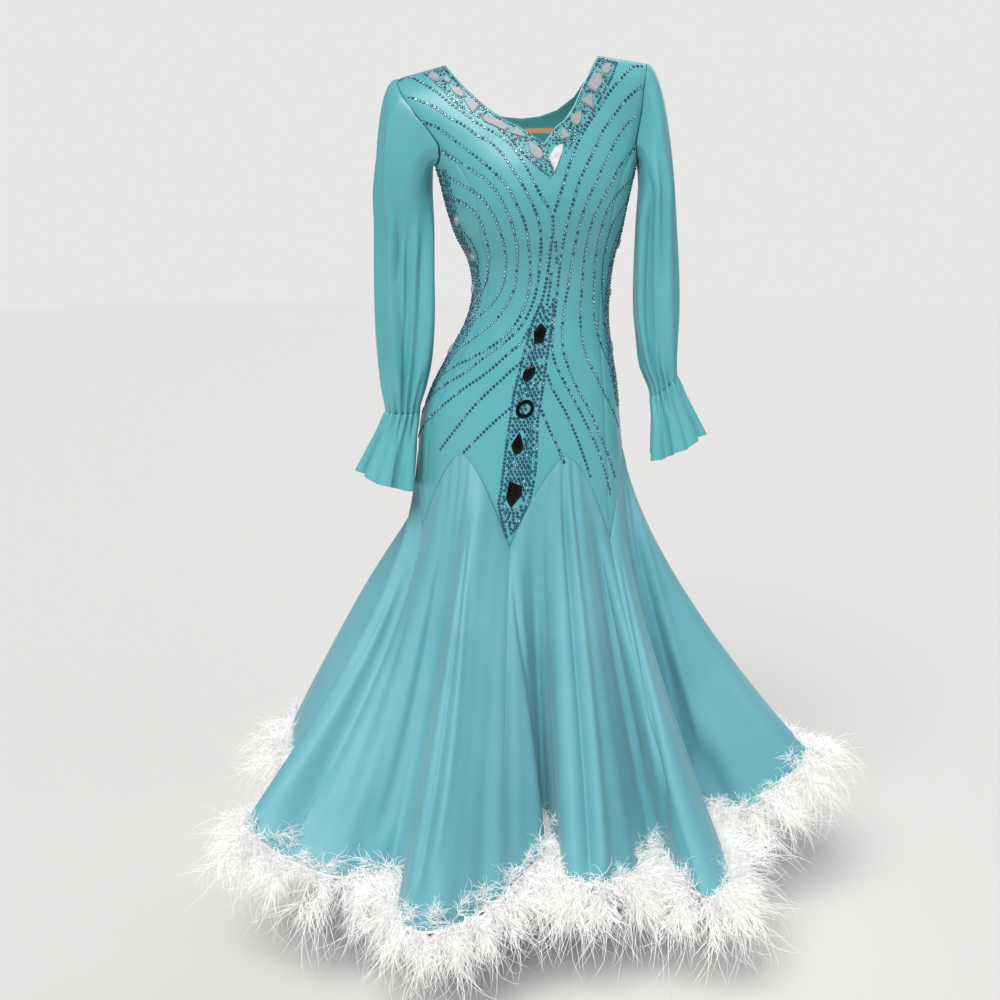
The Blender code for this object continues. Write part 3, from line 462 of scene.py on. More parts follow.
skirt = {
    "wall": 0.0008,
    "goreSteps": 14,
    "fine": 7,
    "rows": 48,
    # ripples of the hem: length, depth and phase
    "ripples": ((0.118, 0.004, 0.4), (0.061, 0.0018, 1.9), (0.233, 0.006, 0.9)),
    "rippleDrift": 2.2,        # radians that the ripples shift on the way up
    "rippleFade": 1.3,
    "creaseIn": 0.16, "creaseOut": 0.12,         # shares of the height where a crease fades in and out
    "creaseNarrow": 0.35, "creaseFlat": 0.4,     # width and height at the top as shares of the hem's
    "seamDip": 0.0012, "seamWidth": 0.004,
    "gathers": {"length": 0.11, "depth": 0.003, "perDegree": 0.135, "spread": 14.0,
                "phase": 0.6, "uneven": 1.4, "unevenTurn": 0.21, "onset": 4},
    # creases: body angle at the top, the middle and the bottom, shares of the way down where it starts
    # and ends, half width at the hem and height, which is below zero for a trough
    "creases": (
        (-20.0, -14.9, -15.8, 0.1, 0.97, 0.011, -0.011), (-17.0, -12.6, -13.0, 0.14, 0.92, 0.011, 0.009),
        (1.0, 5.0, 7.0, 0.08, 0.92, 0.013, -0.01), (26.5, 28.6, 27.2, 0.04, 1.05, 0.011, -0.014),
        (30.2, 32.4, 30.6, 0.04, 1.05, 0.013, 0.01), (48.0, 51.0, 47.0, 0.08, 0.92, 0.017, -0.008),
        (64.0, 60.5, 52.0, 0.1, 0.96, 0.012, -0.013), (86.0, 82.5, 77.0, 0.12, 0.94, 0.013, -0.015),
        (92.0, 87.0, 82.5, 0.06, 0.9, 0.013, 0.009), (-36.0, -36.0, -37.0, 0.16, 0.97, 0.015, -0.009),
        (-50.0, -52.0, -54.0, 0.28, 1.05, 0.02, -0.007), (-66.0, -66.0, -68.0, 0.22, 0.98, 0.02, 0.007),
        (-100.0, -102.0, -101.0, 0.1, 0.95, 0.013, -0.01),
        (-128.0, -130.0, -131.0, 0.15, 1.05, 0.013, -0.01),
        (-140.0, -142.0, -140.0, 0.25, 0.95, 0.016, 0.008),
        (-152.0, -153.0, -154.0, 0.1, 0.9, 0.013, -0.009),
        (-172.0, -173.0, -172.0, 0.12, 1.05, 0.013, -0.011),
        (118.0, 121.0, 123.0, 0.15, 1.05, 0.014, -0.011), (136.0, 139.0, 140.0, 0.2, 0.95, 0.016, 0.008),
        (158.0, 160.0, 161.0, 0.1, 0.97, 0.013, -0.011), (172.0, 174.0, 174.0, 0.18, 0.95, 0.015, 0.008),
    ),
    # folds at the hem: body angle, place, how late the fold swings out, and steps to the next
    "folds": (
        (-180, 0.02, 0.43, -1.29, 1.3, 3), (-170, -0.085, 0.36, -1.285, 1.4, 2),
        (-163, -0.11, 0.255, -1.29, 1.5, 3), (-152, -0.205, 0.4, -1.275, 1.3, 2),
        (-144, -0.28, 0.345, -1.27, 1.2, 2), (-136, -0.275, 0.2, -1.285, 1.0, 2),
        (-120, -0.43, 0.19, -1.215, 0.75, 3), (-108, -0.395, 0.06, -1.25, 1.05, 2),
        (-99, -0.315, -0.01, -1.285, 1.6, 3), (-86, -0.39, -0.15, -1.24, 1.6, 3),
        (-72, -0.45, -0.25, -1.215, 1.5, 3), (-60, -0.385, -0.29, -1.25, 1.4, 3),
        (-44, -0.296, -0.3, -1.28, 1.3, 2), (-30, -0.208, -0.27, -1.285, 1.3, 3),
        (-18, -0.19, -0.41, -1.3, 1.0, 2), (-9, -0.125, -0.43, -1.3, 1.0, 4),
        (0, -0.035, -0.365, -1.285, 1.0, 2), (5, 0.026, -0.275, -1.255, 1.1, 2),
        (12, 0.042, -0.185, -1.24, 1.4, 3), (22, 0.075, -0.31, -1.268, 1.2, 2),
        (31, 0.13, -0.335, -1.275, 1.2, 2), (40, 0.195, -0.27, -1.285, 1.2, 1),
        (47, 0.222, -0.19, -1.28, 1.4, 2), (60, 0.285, -0.345, -1.294, 1.2, 3),
        (69, 0.345, -0.25, -1.29, 1.3, 3), (78, 0.325, -0.06, -1.285, 1.5, 2),
        (88, 0.415, -0.09, -1.252, 1.4, 2), (98, 0.505, -0.02, -1.182, 1.35, 2),
        (110, 0.475, 0.11, -1.215, 1.3, 2), (120, 0.365, 0.125, -1.275, 1.4, 3),
        (132, 0.4, 0.3, -1.255, 1.2, 2), (142, 0.29, 0.225, -1.285, 1.4, 3),
        (153, 0.27, 0.385, -1.275, 1.2, 2), (164, 0.15, 0.29, -1.29, 1.4, 4),
    ),
    "flat": (0.9, 0.68),
    "area": 0.28,
}


def hemColumns(fine):
    folds = np.array(skirt["folds"], float)
    rows = []
    for index, fold in enumerate(folds):
        p, a, b, n = (folds[(index + step) % len(folds)][1:5] for step in (-1, 0, 1, 2))
        end = folds[index + 1][0] if index < len(folds) - 1 else 180.0
        for step in range(int(fold[5]) * fine):
            s = step / (fold[5] * fine)
            place = 2 * a + (b - p) * s + (2 * p - 5 * a + 4 * b - n) * s ** 2
            place = 0.5 * (place + (3 * a - p - 3 * b + n) * s ** 3)
            rows.append([fold[0] + (end - fold[0]) * s, *place])
    return np.array(rows)


yokeAngles = np.append(hemColumns(1)[:, 0], 180.0)


def finer(coarse):
    index = np.linspace(0, len(coarse) - 1, (len(coarse) - 1) * 3 + 1)
    return index, np.interp(index, np.arange(len(coarse)), coarse)


def panelSurface(angle, z, fromSide, lowZ):
    fromYoke = (z - lowZ) * satinWork["yokeSlope"]
    dip = sum(np.exp(-(far / satinWork["seamWidth"]) ** 2) for far in (fromSide, fromYoke))
    normals = bodyNormal(angle, z)
    return satinPoint(angle, z, satinWork["wall"] / 2) - normals * (satinWork["seamDip"] * dip)[..., None]


def panelPoints(facing, neckHalf, neckZ):
    middle = 0.0 if facing == "front" else 180.0
    if facing == "front":
        coarse = yokeAngles[(yokeAngles > -60.01) & (yokeAngles < 60.01)]
    else:
        coarse = np.concatenate([
            yokeAngles[yokeAngles > 119.99] - 180, yokeAngles[1:][yokeAngles[1:] < -119.99] + 180
        ])
    index, columns = finer(coarse)
    halfCount, shoulderCount = len(coarse) // 2, satinWork["shoulderColumns"]
    neckCount = halfCount - shoulderCount
    fromMiddle = np.abs(index - halfCount)
    side = np.sign(index - halfCount)
    neckAt = (len(neckHalf) - 1) * (1 - np.minimum(fromMiddle / neckCount, 1))
    shoulder = body["shoulderHalf"] - body["neckHalf"]
    topHalf = np.where(
        fromMiddle <= neckCount,
        np.interp(neckAt, np.arange(len(neckHalf)), neckHalf),
        body["neckHalf"] + shoulder * (fromMiddle - neckCount) / shoulderCount,
    )
    topZ = np.where(fromMiddle <= neckCount, np.interp(neckAt, np.arange(len(neckZ)), neckZ), 0.0)
    topAngle = np.degrees(np.arcsin(np.clip(topHalf / bodyCurves["half"](topZ), -1, 1)))
    topPart = side * topAngle / np.interp(topZ, panelEdges["z"], panelEdges[facing])
    armShares = [cornerShare + (1 - cornerShare) * s for s in armhole["stops"]]
    armAt = np.linspace(0, len(armShares) - 1, satinWork["armRows"])[1:]
    shares = np.concatenate([
        np.linspace(0, cornerShare, satinWork["lowRows"]),
        np.interp(armAt, np.arange(len(armShares)), armShares),
    ])[:, None]
    lowZ = yokeZ(middle + columns) + yokeGap(middle + columns)
    z = lowZ + (topZ - lowZ) * shares
    edge = edgeCurves[facing](z)
    part = columns / yoke["step"]
    part = part + (topPart - part) * shares ** 1.5
    angle = middle + (part * edge - np.sign(part) * satinWork["gap"] * (np.abs(part) > 0.999))
    points = panelSurface(angle, z, (1 - np.abs(part)) * np.radians(edge) * satinWork["sideRadius"], lowZ)
    atShoulder = (np.abs(topZ) < 1e-9)[None, :] & (shares > 0.9999)
    points[..., 1] += np.where(atShoulder, (-1 if facing == "front" else 1) * yoke["gap"] / 2, 0)
    return points


def sidePoints(side):
    coarse = yokeAngles[(yokeAngles > 59.99) & (yokeAngles < 120.01)]
    if side < 0:
        coarse = -yokeAngles[(yokeAngles > -120.01) & (yokeAngles < -59.99)][::-1]
    index, columns = finer(coarse)
    shares = np.linspace(0, 1, satinWork["sideRows"])[:, None]
    even = index / (len(coarse) - 1)
    part = (columns - columns[0]) / (columns[-1] - columns[0])
    part = part + (even - part) * shares
    lowZ = yokeZ(columns) + yokeGap(columns)
    topZ = armhole["z"] + (armhole["lowest"] - armhole["z"]) * np.sin(math.pi * even) ** armhole["round"]
    z = lowZ + (topZ - lowZ) * shares
    front, back = edgeCurves["front"](z), 180 - edgeCurves["back"](z)
    gap = satinWork["gap"]
    angle = side * (front + gap + (back - front - 2 * gap) * part)
    fromSide = np.minimum(part, 1 - part) * np.radians(back - front) * satinWork["sideRadius"]
    return panelSurface(angle, z, fromSide, lowZ)


bodice = {
    "frontNeckHalf": (0.122, 0.093, 0.068, 0.047, 0.029, 0.016, 0.0),
    "frontNeckZ": (0.0, -0.04, -0.072, -0.091, -0.101, -0.112, -0.127),
    "backNeckHalf": (0.122, 0.108, 0.088, 0.06, 0.03, 0.0),
    "backNeckZ": (0.0, -0.03, -0.058, -0.078, -0.088, -0.091),
    "flats": {
        "front_panel": ((0.42, 0.8), 0.175), "back_panel": ((0.42, 0.8), 0.175),
        "side_panel_left": ((0.16, 0.66), 0.064), "side_panel_right": ((0.16, 0.66), 0.064),
    },
    "joins": {
        "front_panel": ["side_panel_left", "side_panel_right", "back_panel"],
        "back_panel": ["side_panel_left", "side_panel_right", "front_panel"],
        "side_panel_left": ["frontPanel", "backPanel"],
        "side_panel_right": ["frontPanel", "backPanel"],
    },
}

bodicePoints = {
    "front_panel": panelPoints("front", bodice["frontNeckHalf"], bodice["frontNeckZ"]),
    "back_panel": panelPoints("back", bodice["backNeckHalf"], bodice["backNeckZ"]),
    "side_panel_left": sidePoints(-1),
    "side_panel_right": sidePoints(1),
}
for name, points in bodicePoints.items():
    piece = addPiece(
        name.replace("_p", "P").replace("_l", "L").replace("_r", "R"),
        clothMesh(name, points, turned=name == "side_panel_left"), satin, [name], satinWork["wall"],
    )
print("bodice made")


# Sleeves and cuff frills

sleeves = {
    "wall": 0.001,
    "around": 98,
    "capRings": 3, "tubeRings": 11, "crowding": 1.25, "fine": 4,
    "roundFolds": 5, "twist": 1.1, "creaseRise": 1.35, "capOutTop": 0.0006, "capOutUnder": 0.004,
    "left": {
        "side": -1, "tilt": 0.0, "capReach": 0.88, "creaseStart": 0.0,
        "z": (-0.566, -0.553, -0.52, -0.474, -0.41, -0.34, -0.262, -0.21),
        "x": (-0.198, -0.1975, -0.1955, -0.1925, -0.191, -0.1905, -0.1895, -0.192),
        "y": (-0.03, -0.03, -0.026, -0.02, -0.012, -0.004, 0.002, 0.0),
        "wide": (0.0245, 0.0265, 0.035, 0.0425, 0.047, 0.0475, 0.047, 0.046),
        "deep": (0.023, 0.025, 0.032, 0.037, 0.041, 0.044, 0.047, 0.05),
        "fold": (0.0, 0.001, 0.003, 0.005, 0.005, 0.004, 0.002, 0.0),
        "frill": {"x": -0.225, "y": -0.034, "z": -0.684, "wide": 0.04, "deep": 0.044, "rise": 0.014},
        # creases: place round the sleeve in degrees, drift on the way down, half width, height, start, end
        "creases": (
            (50, 22, 8, 0.0048, 0.02, 1.0), (66, 26, 5, -0.004, 0.25, 1.0),
            (84, 4, 6, 0.0036, 0.45, 1.0), (104, -16, 6, -0.0044, 0.4, 1.0),
            (122, -18, 7, 0.0042, 0.35, 1.0), (140, -30, 6, -0.0036, 0.42, 1.0),
            (26, 18, 6, -0.004, 0.05, 0.98), (4, 14, 7, 0.0036, 0.2, 1.0),
            (160, -26, 8, 0.0034, 0.3, 0.95), (96, -60, 5, 0.0028, 0.28, 0.62),
            (112, -64, 4, -0.0026, 0.32, 0.66), (205, 10, 10, -0.0036, 0.05, 0.95),
            (250, -8, 10, 0.0036, 0.1, 0.98), (300, 8, 10, -0.0036, 0.15, 0.98),
        ),
    },
    "right": {
        "side": 1, "tilt": 0.016, "capReach": 0.6, "creaseStart": 0.2,
        "z": (-0.526, -0.513, -0.485, -0.44, -0.4, -0.344, -0.262, -0.2),
        "x": (0.2395, 0.237, 0.2305, 0.2265, 0.224, 0.2225, 0.221, 0.2215),
        "y": (-0.018, -0.016, -0.012, -0.006, 0.0, 0.004, 0.006, 0.006),
        "wide": (0.0185, 0.02, 0.0265, 0.032, 0.0355, 0.036, 0.033, 0.029),
        "deep": (0.024, 0.026, 0.034, 0.042, 0.047, 0.051, 0.053, 0.052),
        "fold": (0.0, 0.001, 0.003, 0.005, 0.005, 0.004, 0.002, 0.0),
        "frill": {"x": 0.262, "y": -0.022, "z": -0.63, "wide": 0.037, "deep": 0.042, "rise": 0.020},
        "creases": (
            (114, 6, 8, -0.0062, 0.3, 1.0), (92, 2, 10, 0.0036, 0.26, 1.0),
            (74, 6, 9, -0.0042, 0.16, 0.74), (52, 10, 9, 0.003, 0.22, 1.0),
            (32, 6, 6, -0.003, 0.1, 1.0), (142, -12, 10, 0.0034, 0.34, 1.0),
            (164, -10, 8, -0.0032, 0.4, 1.0), (200, 10, 10, -0.0034, 0.22, 0.95),
            (250, -10, 10, 0.0034, 0.1, 0.98), (300, 8, 10, -0.0032, 0.15, 0.98),
        ),
    },
    "gathers": {"count": 15, "depth": 0.0042, "length": 0.075},
    "creaseIn": 0.15, "creaseOut": 0.12,         # shares of the length where a crease fades in and out
    "flats": {"sleeve": ((0.36, 0.6), 0.14), "frill": ((0.32, 0.125), 0.034)},
}
frills = {
    "around": 144, "rows": 22, "waves": 5, "wave": 0.007, "phase": 0.6, "opening": 0.8,
    "flutes": {"count": 8, "depth": 0.0095, "phase": 1.3, "uneven": 0.9},
    "gathers": {"count": 15, "depth": 0.0042, "length": 0.30},
}


def armholePoints(side, count):
    heights = [lowestZ * (1 - cornerShare - (1 - cornerShare) * s) for s in armhole["stops"]]
    stops = [(float(edgeCurves["front"](z)), z) for z in heights[::-1]]
    for step in range(1, armhole["steps"]):
        s = step / armhole["steps"]
        z = armhole["z"] + (armhole["lowest"] - armhole["z"]) * math.sin(math.pi * s) ** armhole["round"]
        front, back = float(edgeCurves["front"](z)), 180 - float(edgeCurves["back"](z))
        stops.append((front + (back - front) * s, z))
    stops += [(180 - float(edgeCurves["back"](z)), z) for z in heights]
    stops = np.array(stops)
    at = np.arange(count) / count * (len(stops) - 1)
    angle, z = (np.interp(at, np.arange(len(stops)), stops[:, k]) for k in (0, 1))
    return bodyPoint(side * angle, z)


def wobble(a, count):
    return np.sin(count * a + 0.7 * np.sin(3 * a))


def gridNormals(points, wraps):
    if wraps:
        along = np.roll(points, -1, 1) - np.roll(points, 1, 1)
    else:
        along = np.gradient(points, axis=1)
    return unit(np.cross(along, np.gradient(points, axis=0)))


def sleevePoints(shape):
    side, count = shape["side"], sleeves["around"]
    curves = {key: curveThrough(shape["z"], shape[key]) for key in ("x", "y", "wide", "deep", "fold")}
    a = 2 * math.pi * np.arange(count) / count

    def ring(z, tilt, phase):
        swell = 1 + curves["fold"](z) / curves["wide"](z) * np.cos(sleeves["roundFolds"] * a + phase)
        x = curves["x"](z) + side * curves["wide"](z) * swell * np.cos(a)
        y = curves["y"](z) - curves["deep"](z) * swell * np.sin(a)
        return np.stack([x, y, z + tilt * np.cos(a)], -1)

    top, low = shape["z"][-1], shape["z"][0]
    seam, first = armholePoints(side, count), ring(top, 0.0, 0.0)
    under = (1 - np.cos(a)) / 2
    out = sleeves["capOutTop"] + (sleeves["capOutUnder"] - sleeves["capOutTop"]) * under
    start = seam + np.stack([side * out, 0 * out, 0 * out], -1)
    bend = start + (first - start) * shape["capReach"]
    bend[:, 2] = start[:, 2]
    rings = []
    capSteps = (sleeves["capRings"] + 1) * sleeves["fine"]
    for s in np.arange(capSteps) / capSteps:
        one, two = start + (bend - start) * s, bend + (first - bend) * s
        rings.append(one + (two - one) * s)
    for s in np.linspace(0, 1, sleeves["tubeRings"] * sleeves["fine"] + 1):
        z = top + (low - top) * (1 - (1 - s) ** sleeves["crowding"])
        rings.append(ring(z, shape["tilt"] * s ** 3, s * sleeves["twist"]))
    points = np.array(rings)
    normals = gridNormals(points, True) * side
    down = np.clip((points[..., 2] - points[0, :, 2].max()) / (low - points[0, :, 2].max()), 0, 1)
    degrees = np.degrees(a)[None, :]
    relief = np.zeros(down.shape)
    for place, drift, width, rise, begin, end in shape["creases"]:
        off = (degrees - place - drift * down + 180) % 360 - 180
        begin = max(begin, shape["creaseStart"])
        fade = np.clip((down - begin) / sleeves["creaseIn"], 0, 1)
        fade = fade * np.clip((end - down) / sleeves["creaseOut"], 0, 1)
        relief += sleeves["creaseRise"] * rise * np.exp(-(off / width) ** 2) * smooth(fade)
    gather = sleeves["gathers"]
    toWrist = np.exp(-((points[..., 2] - low) / gather["length"]) ** 2)
    relief += gather["depth"] * wobble(a, gather["count"]) * toWrist
    return points + normals * (relief + sleeves["wall"] / 2)[..., None]


def frillPoints(shape):
    side, count = shape["side"], frills["around"]
    wrist = {key: shape[key][0] for key in ("x", "y", "z", "wide", "deep")}
    hem = shape["frill"]
    a = 2 * math.pi * np.arange(count) / count
    rings = []
    shares = np.linspace(0, 1, frills["rows"] + 1)
    for s in shares:
        opened = s ** frills["opening"]
        wave = frills["wave"] * s * np.cos(frills["waves"] * a + frills["phase"])
        wide, deep = (wrist[key] + (hem[key] - wrist[key]) * opened + wave for key in ("wide", "deep"))
        x = wrist["x"] + (hem["x"] - wrist["x"]) * s + side * wide * np.cos(a)
        y = wrist["y"] + (hem["y"] - wrist["y"]) * s - deep * np.sin(a)
        top = wrist["z"] - yoke["gap"] + shape["tilt"] * np.cos(a)
        z = top + (hem["z"] + hem["rise"] * np.cos(a) - top) * s
        rings.append(np.stack([x, y, z], -1))
    points = np.array(rings)
    normals = gridNormals(points, True) * side
    s = shares[:, None]
    gather, flute = frills["gathers"], frills["flutes"]
    relief = gather["depth"] * wobble(a, gather["count"]) * np.exp(-(s / gather["length"]) ** 2)
    flutes = np.sin(flute["count"] * a + flute["phase"] + flute["uneven"] * np.sin(2 * a))
    relief = relief + flute["depth"] * s * flutes
    return points + normals * (relief + sleeves["wall"] / 2)[..., None]


for sideName in ("left", "right"):
    shape = sleeves[sideName]
    for name, points, flatName in (
        ("sleeve_" + sideName, sleevePoints(shape), "sleeve"),
        ("cuff_frill_" + sideName, frillPoints(shape), "frill"),
    ):
        piece = addPiece(
            flatName + sideName.capitalize(), clothMesh(name, points, True, sideName == "left"),
            satin, [name], sleeves["wall"],
        )
print("sleeves made")


# Chiffon gores

def skirtPoints():
    columns = hemColumns(skirt["fine"])
    angle = columns[:, 0]
    top = bodyPoint(angle, yokeZ(angle) - yokeGap(angle))
    shares = np.linspace(1, 0, skirt["rows"] + 1)[:, None]
    out = shares ** columns[:, 4]
    x = top[:, 0] + (columns[:, 1] - top[:, 0]) * out
    y = top[:, 1] + (columns[:, 2] - top[:, 1]) * out
    z = top[:, 2] + (columns[:, 3] - top[:, 2]) * shares
    points = np.stack([x, y, z], -1)
    normals = gridNormals(points, True)
    along = lengthAlong(points[0])
    around = along[-1] + np.linalg.norm(points[0, 0] - points[0, -1])
    relief = np.zeros((len(shares), len(angle)))
    for length, depth, phase in skirt["ripples"]:
        turns = 2 * math.pi * round(around / length)
        wave = np.sin(turns * along / around + phase + skirt["rippleDrift"] * (1 - shares))
        relief = relief + depth * wave * shares ** skirt["rippleFade"]
    steps = np.linalg.norm(np.diff(points, axis=1, append=points[:, :1]), axis=-1)
    length = np.concatenate([0 * steps[:, :1], np.cumsum(steps, 1)], 1)
    whole = length[:, -1:]
    narrow, flat = skirt["creaseNarrow"], skirt["creaseFlat"]
    for high, middle, low, begin, end, width, rise in skirt["creases"]:
        s = np.clip((shares[:, 0] - begin) / (end - begin), 0, 1)
        line = high * (1 - s) * (1 - 2 * s) + middle * 4 * s * (1 - s) + low * s * (2 * s - 1)
        place = [np.interp(a, np.append(angle, 180.0), row) for a, row in zip(line, length)]
        off = (length[:, :-1] - np.array(place)[:, None] + whole / 2) % whole - whole / 2
        fade = np.minimum((shares - begin) / skirt["creaseIn"], (end - shares) / skirt["creaseOut"])
        spread = width * (narrow + (1 - narrow) * shares)
        crease = rise * np.exp(-(off / spread) ** 2) * smooth(np.clip(fade, 0, 1))
        relief = relief + crease * (flat + (1 - flat) * shares)
    gather = skirt["gathers"]
    fromArch = (angle % yoke["step"]) - yoke["step"] / 2
    below = top[:, 2] - z
    down = below / gather["length"]
    uneven = gather["phase"] + gather["uneven"] * np.sin(angle * gather["unevenTurn"])
    pleat = np.sin(2 * math.pi * gather["perDegree"] * fromArch + uneven)
    pleat = pleat * np.exp(-(fromArch / gather["spread"]) ** 2)
    relief = relief + gather["depth"] * pleat * np.minimum(down * gather["onset"], 1) * np.exp(-down)
    relief = relief - skirt["seamDip"] * np.exp(-(below / skirt["seamWidth"]) ** 2)
    return points + normals * (relief + skirt["wall"] / 2)[..., None], normals


wholeSkirt, skirtNormals = skirtPoints()
goreColumns = skirt["goreSteps"] * skirt["fine"]
for number in range(6):
    picks = (number * goreColumns + np.arange(goreColumns + 1)) % wholeSkirt.shape[1]
    points = wholeSkirt[:, picks].copy()
    name = "gore_%d" % (number + 1)
    mesh = clothMesh(name, points)
    piece = addPiece("gore%d" % (number + 1), mesh, chiffon, [name], skirt["wall"])
    print(name, "area", round(areaOf(points), 4))
print("gores made")


# Feather trim: plumes set along the hem

plumes = {
    "kinds": 9, "barbs": 32, "wisps": 6, "wispSteps": 5, "length": 0.060, "seed": 11,
    "bend": 0.012, "shaftStops": (0, 0.35, 0.7, 1.0), "shaftRadius": 0.0009, "taper": 0.6,
    # a strand sags by its place along the plume: where the shaft ends, and how a strand starts and grows
    "shaftSag": 0.55, "strandSag": 0.5, "sagGrowth": 9, "joint": 0.35, "tip": 0.3, "slantLoss": (1.1, 0.4),
    # how far up the shaft each strand starts, its slant in degrees, its length and its radius
    "barb": ((0.02, 0.92), (24, 84), (0.030, 0.062), 0.00064),
    "wisp": ((0.35, 0.95), (8, 30), (0.065, 0.105), 0.00050),
    "wispCurl": 0.55, "wispWander": 0.16,
    "pitch": 0.0052, "smallest": 0.75, "largest": 1.20, "droop": 0.024, "sway": 0.40,
    "heights": (-0.003, 0.004, 0.010), "spinSeed": 3,
    "onCloth": 0.0015,         # plumes set above the edge stand this far off the cloth
    "tapeRadius": 0.0022, "tapeSides": 6, "drop": 0.0040, "inward": 0.0030,
    # leaning plumes: share of them, range of lean in degrees from the hang of the cloth, and size
    "leans": ((0.60, -24, 58, 1.0), (0.26, 58, 118, 0.88), (0.14, 138, 172, 0.62)),
    # the trim stays inside this box, whose last stretch is drawn in softly
    "box": ((-0.572, -0.549, -1.470), (0.649, 0.556, 0.050)), "stretch": 0.030,
}


def strand(verts, faces, along, path, radius, start, end):
    count = len(path)
    base = len(verts)
    for index, place in enumerate(path[:-1]):
        step = path[index + 1] - path[max(index - 1, 0)]
        direction = step / np.linalg.norm(step)
        one = np.cross(direction, (0.31, 0.72, 0.62))
        one /= np.linalg.norm(one)
        two = np.cross(direction, one)
        size = radius * (1 - plumes["taper"] * index / (count - 1))
        for corner in range(3):
            a = 2 * math.pi * corner / 3
            verts.append(place + (one * math.cos(a) + two * math.sin(a)) * size)
            along.append(start + (end - start) * index / (count - 1))
    verts.append(path[-1])
    along.append(end)
    faces.append((base + 2, base + 1, base))
    for index in range(count - 2):
        for corner in range(3):
            after = (corner + 1) % 3
            low = base + index * 3
            faces.append((low + corner, low + after, low + 3 + after, low + 3 + corner))
    low, tip = base + (count - 2) * 3, base + (count - 1) * 3
    for corner in range(3):
        faces.append((low + corner, low + (corner + 1) % 3, tip))


def plumeMesh(name, draw):
    verts, faces, along = [], [], []
    bend = draw.uniform(-plumes["bend"], plumes["bend"], 2)

    def onShaft(s):
        return np.array([bend[0] * s * s, bend[1] * s * s, plumes["length"] * s])

    shaft = [onShaft(s) for s in plumes["shaftStops"]]
    strand(verts, faces, along, shaft, plumes["shaftRadius"], 0.0, plumes["shaftSag"])
    whole, loss = plumes["slantLoss"]
    for index in range(plumes["barbs"] + plumes["wisps"]):
        isWisp = index >= plumes["barbs"]
        starts, slants, lengths, radius = plumes["wisp" if isWisp else "barb"]
        t = draw.uniform(*starts)
        root = onShaft(t)
        turn = draw.uniform(0, 2 * math.pi)
        spread = math.radians(draw.uniform(*slants) * (1 if isWisp else whole - loss * t))
        size = draw.uniform(*lengths)
        side = np.array([math.cos(turn), math.sin(turn), 0])
        first = side * math.sin(spread) + np.array([0, 0, math.cos(spread)])
        curl = draw.uniform(-1.0, 1.0) * np.array([-side[1], side[0], 0]) + draw.uniform(-0.5, 0.3) * side
        if isWisp:
            path, heading = [root], first
            for step in range(plumes["wispSteps"]):
                path.append(path[-1] + heading * size / plumes["wispSteps"])
                heading = unit(heading + curl * plumes["wispCurl"] + draw.normal(0, plumes["wispWander"], 3))
        else:
            second = unit(first + curl)
            third = unit(second + curl)
            joint = size * plumes["joint"]
            bent = root + (first + second) * joint
            path = [root, root + first * joint, bent, bent + third * size * plumes["tip"]]
        sag = t * plumes["strandSag"]
        strand(verts, faces, along, path, radius, sag, min(1, sag + size * plumes["sagGrowth"]))
    mesh = bpy.data.meshes.new(name)
    mesh.from_pydata([tuple(v) for v in verts], [], faces)
    mesh.attributes.new("along", "FLOAT", "POINT").data.foreach_set("value", along)
    return mesh


def applyTree(name, pointObject, tree, values):
    modifier = pointObject.modifiers.new(name, "NODES")
    modifier.node_group = tree
    for item in tree.interface.items_tree:
        if item.item_type == "SOCKET" and item.in_out == "INPUT" and item.name in values:
            modifier[item.identifier] = values[item.name]
    evaluated = pointObject.evaluated_get(bpy.context.evaluated_depsgraph_get())
    mesh = bpy.data.meshes.new_from_object(evaluated)
    bpy.data.objects.remove(pointObject)
    mesh.name = name
    return mesh


def pointObject(name, places, attributes):
    mesh = bpy.data.meshes.new(name)
    mesh.from_pydata([tuple(p) for p in places], [], [])
    for key, values in attributes.items():
        values = np.asarray(values, np.float32)
        kind, field = ("FLOAT_VECTOR", "vector") if values.ndim == 2 else ("FLOAT", "value")
        mesh.attributes.new(key, kind, "POINT").data.foreach_set(field, values.ravel())
    made = bpy.data.objects.new(name, mesh)
    scene.collection.objects.link(made)
    return made


def named(tree, name, kind="FLOAT"):
    node = addNode(tree, "GeometryNodeInputNamedAttribute", {"Name": name}, data_type=kind)
    return node.outputs["Attribute"]


def math2(tree, operation, one, two):
    return addNode(tree, "ShaderNodeMath", {0: one, 1: two}, operation=operation).outputs[0]


def randomValue(tree, kind, low, high, seed):
    node = addNode(tree, "FunctionNodeRandomValue", data_type=kind)
    wanted = "VALUE" if kind == "FLOAT" else kind
    sockets = [socket for socket in node.inputs if socket.type == wanted and socket.name in ("Min", "Max")]
    sockets.append(next(socket for socket in node.inputs if socket.name == "Seed"))
    for socket, value in zip(sockets, (low, high, seed)):
        if isinstance(value, bpy.types.NodeSocket):
            tree.links.new(value, socket)
        else:
            socket.default_value = value
    return next(socket for socket in node.outputs if socket.type == wanted and socket.enabled)


def newTree(name, *inputs):
    tree = bpy.data.node_groups.new(name, "GeometryNodeTree")
    common = (("Geometry", "Geometry"), ("Smallest", "Float"), ("Largest", "Float"), ("Seed", "Int"),
              ("Material", "Material"))
    for key, kind in (*common, *inputs):
        tree.interface.new_socket(key, in_out="INPUT", socket_type="NodeSocket" + kind)
    tree.interface.new_socket("Geometry", in_out="OUTPUT", socket_type="NodeSocketGeometry")
    return tree, tree.nodes.new("NodeGroupInput").outputs


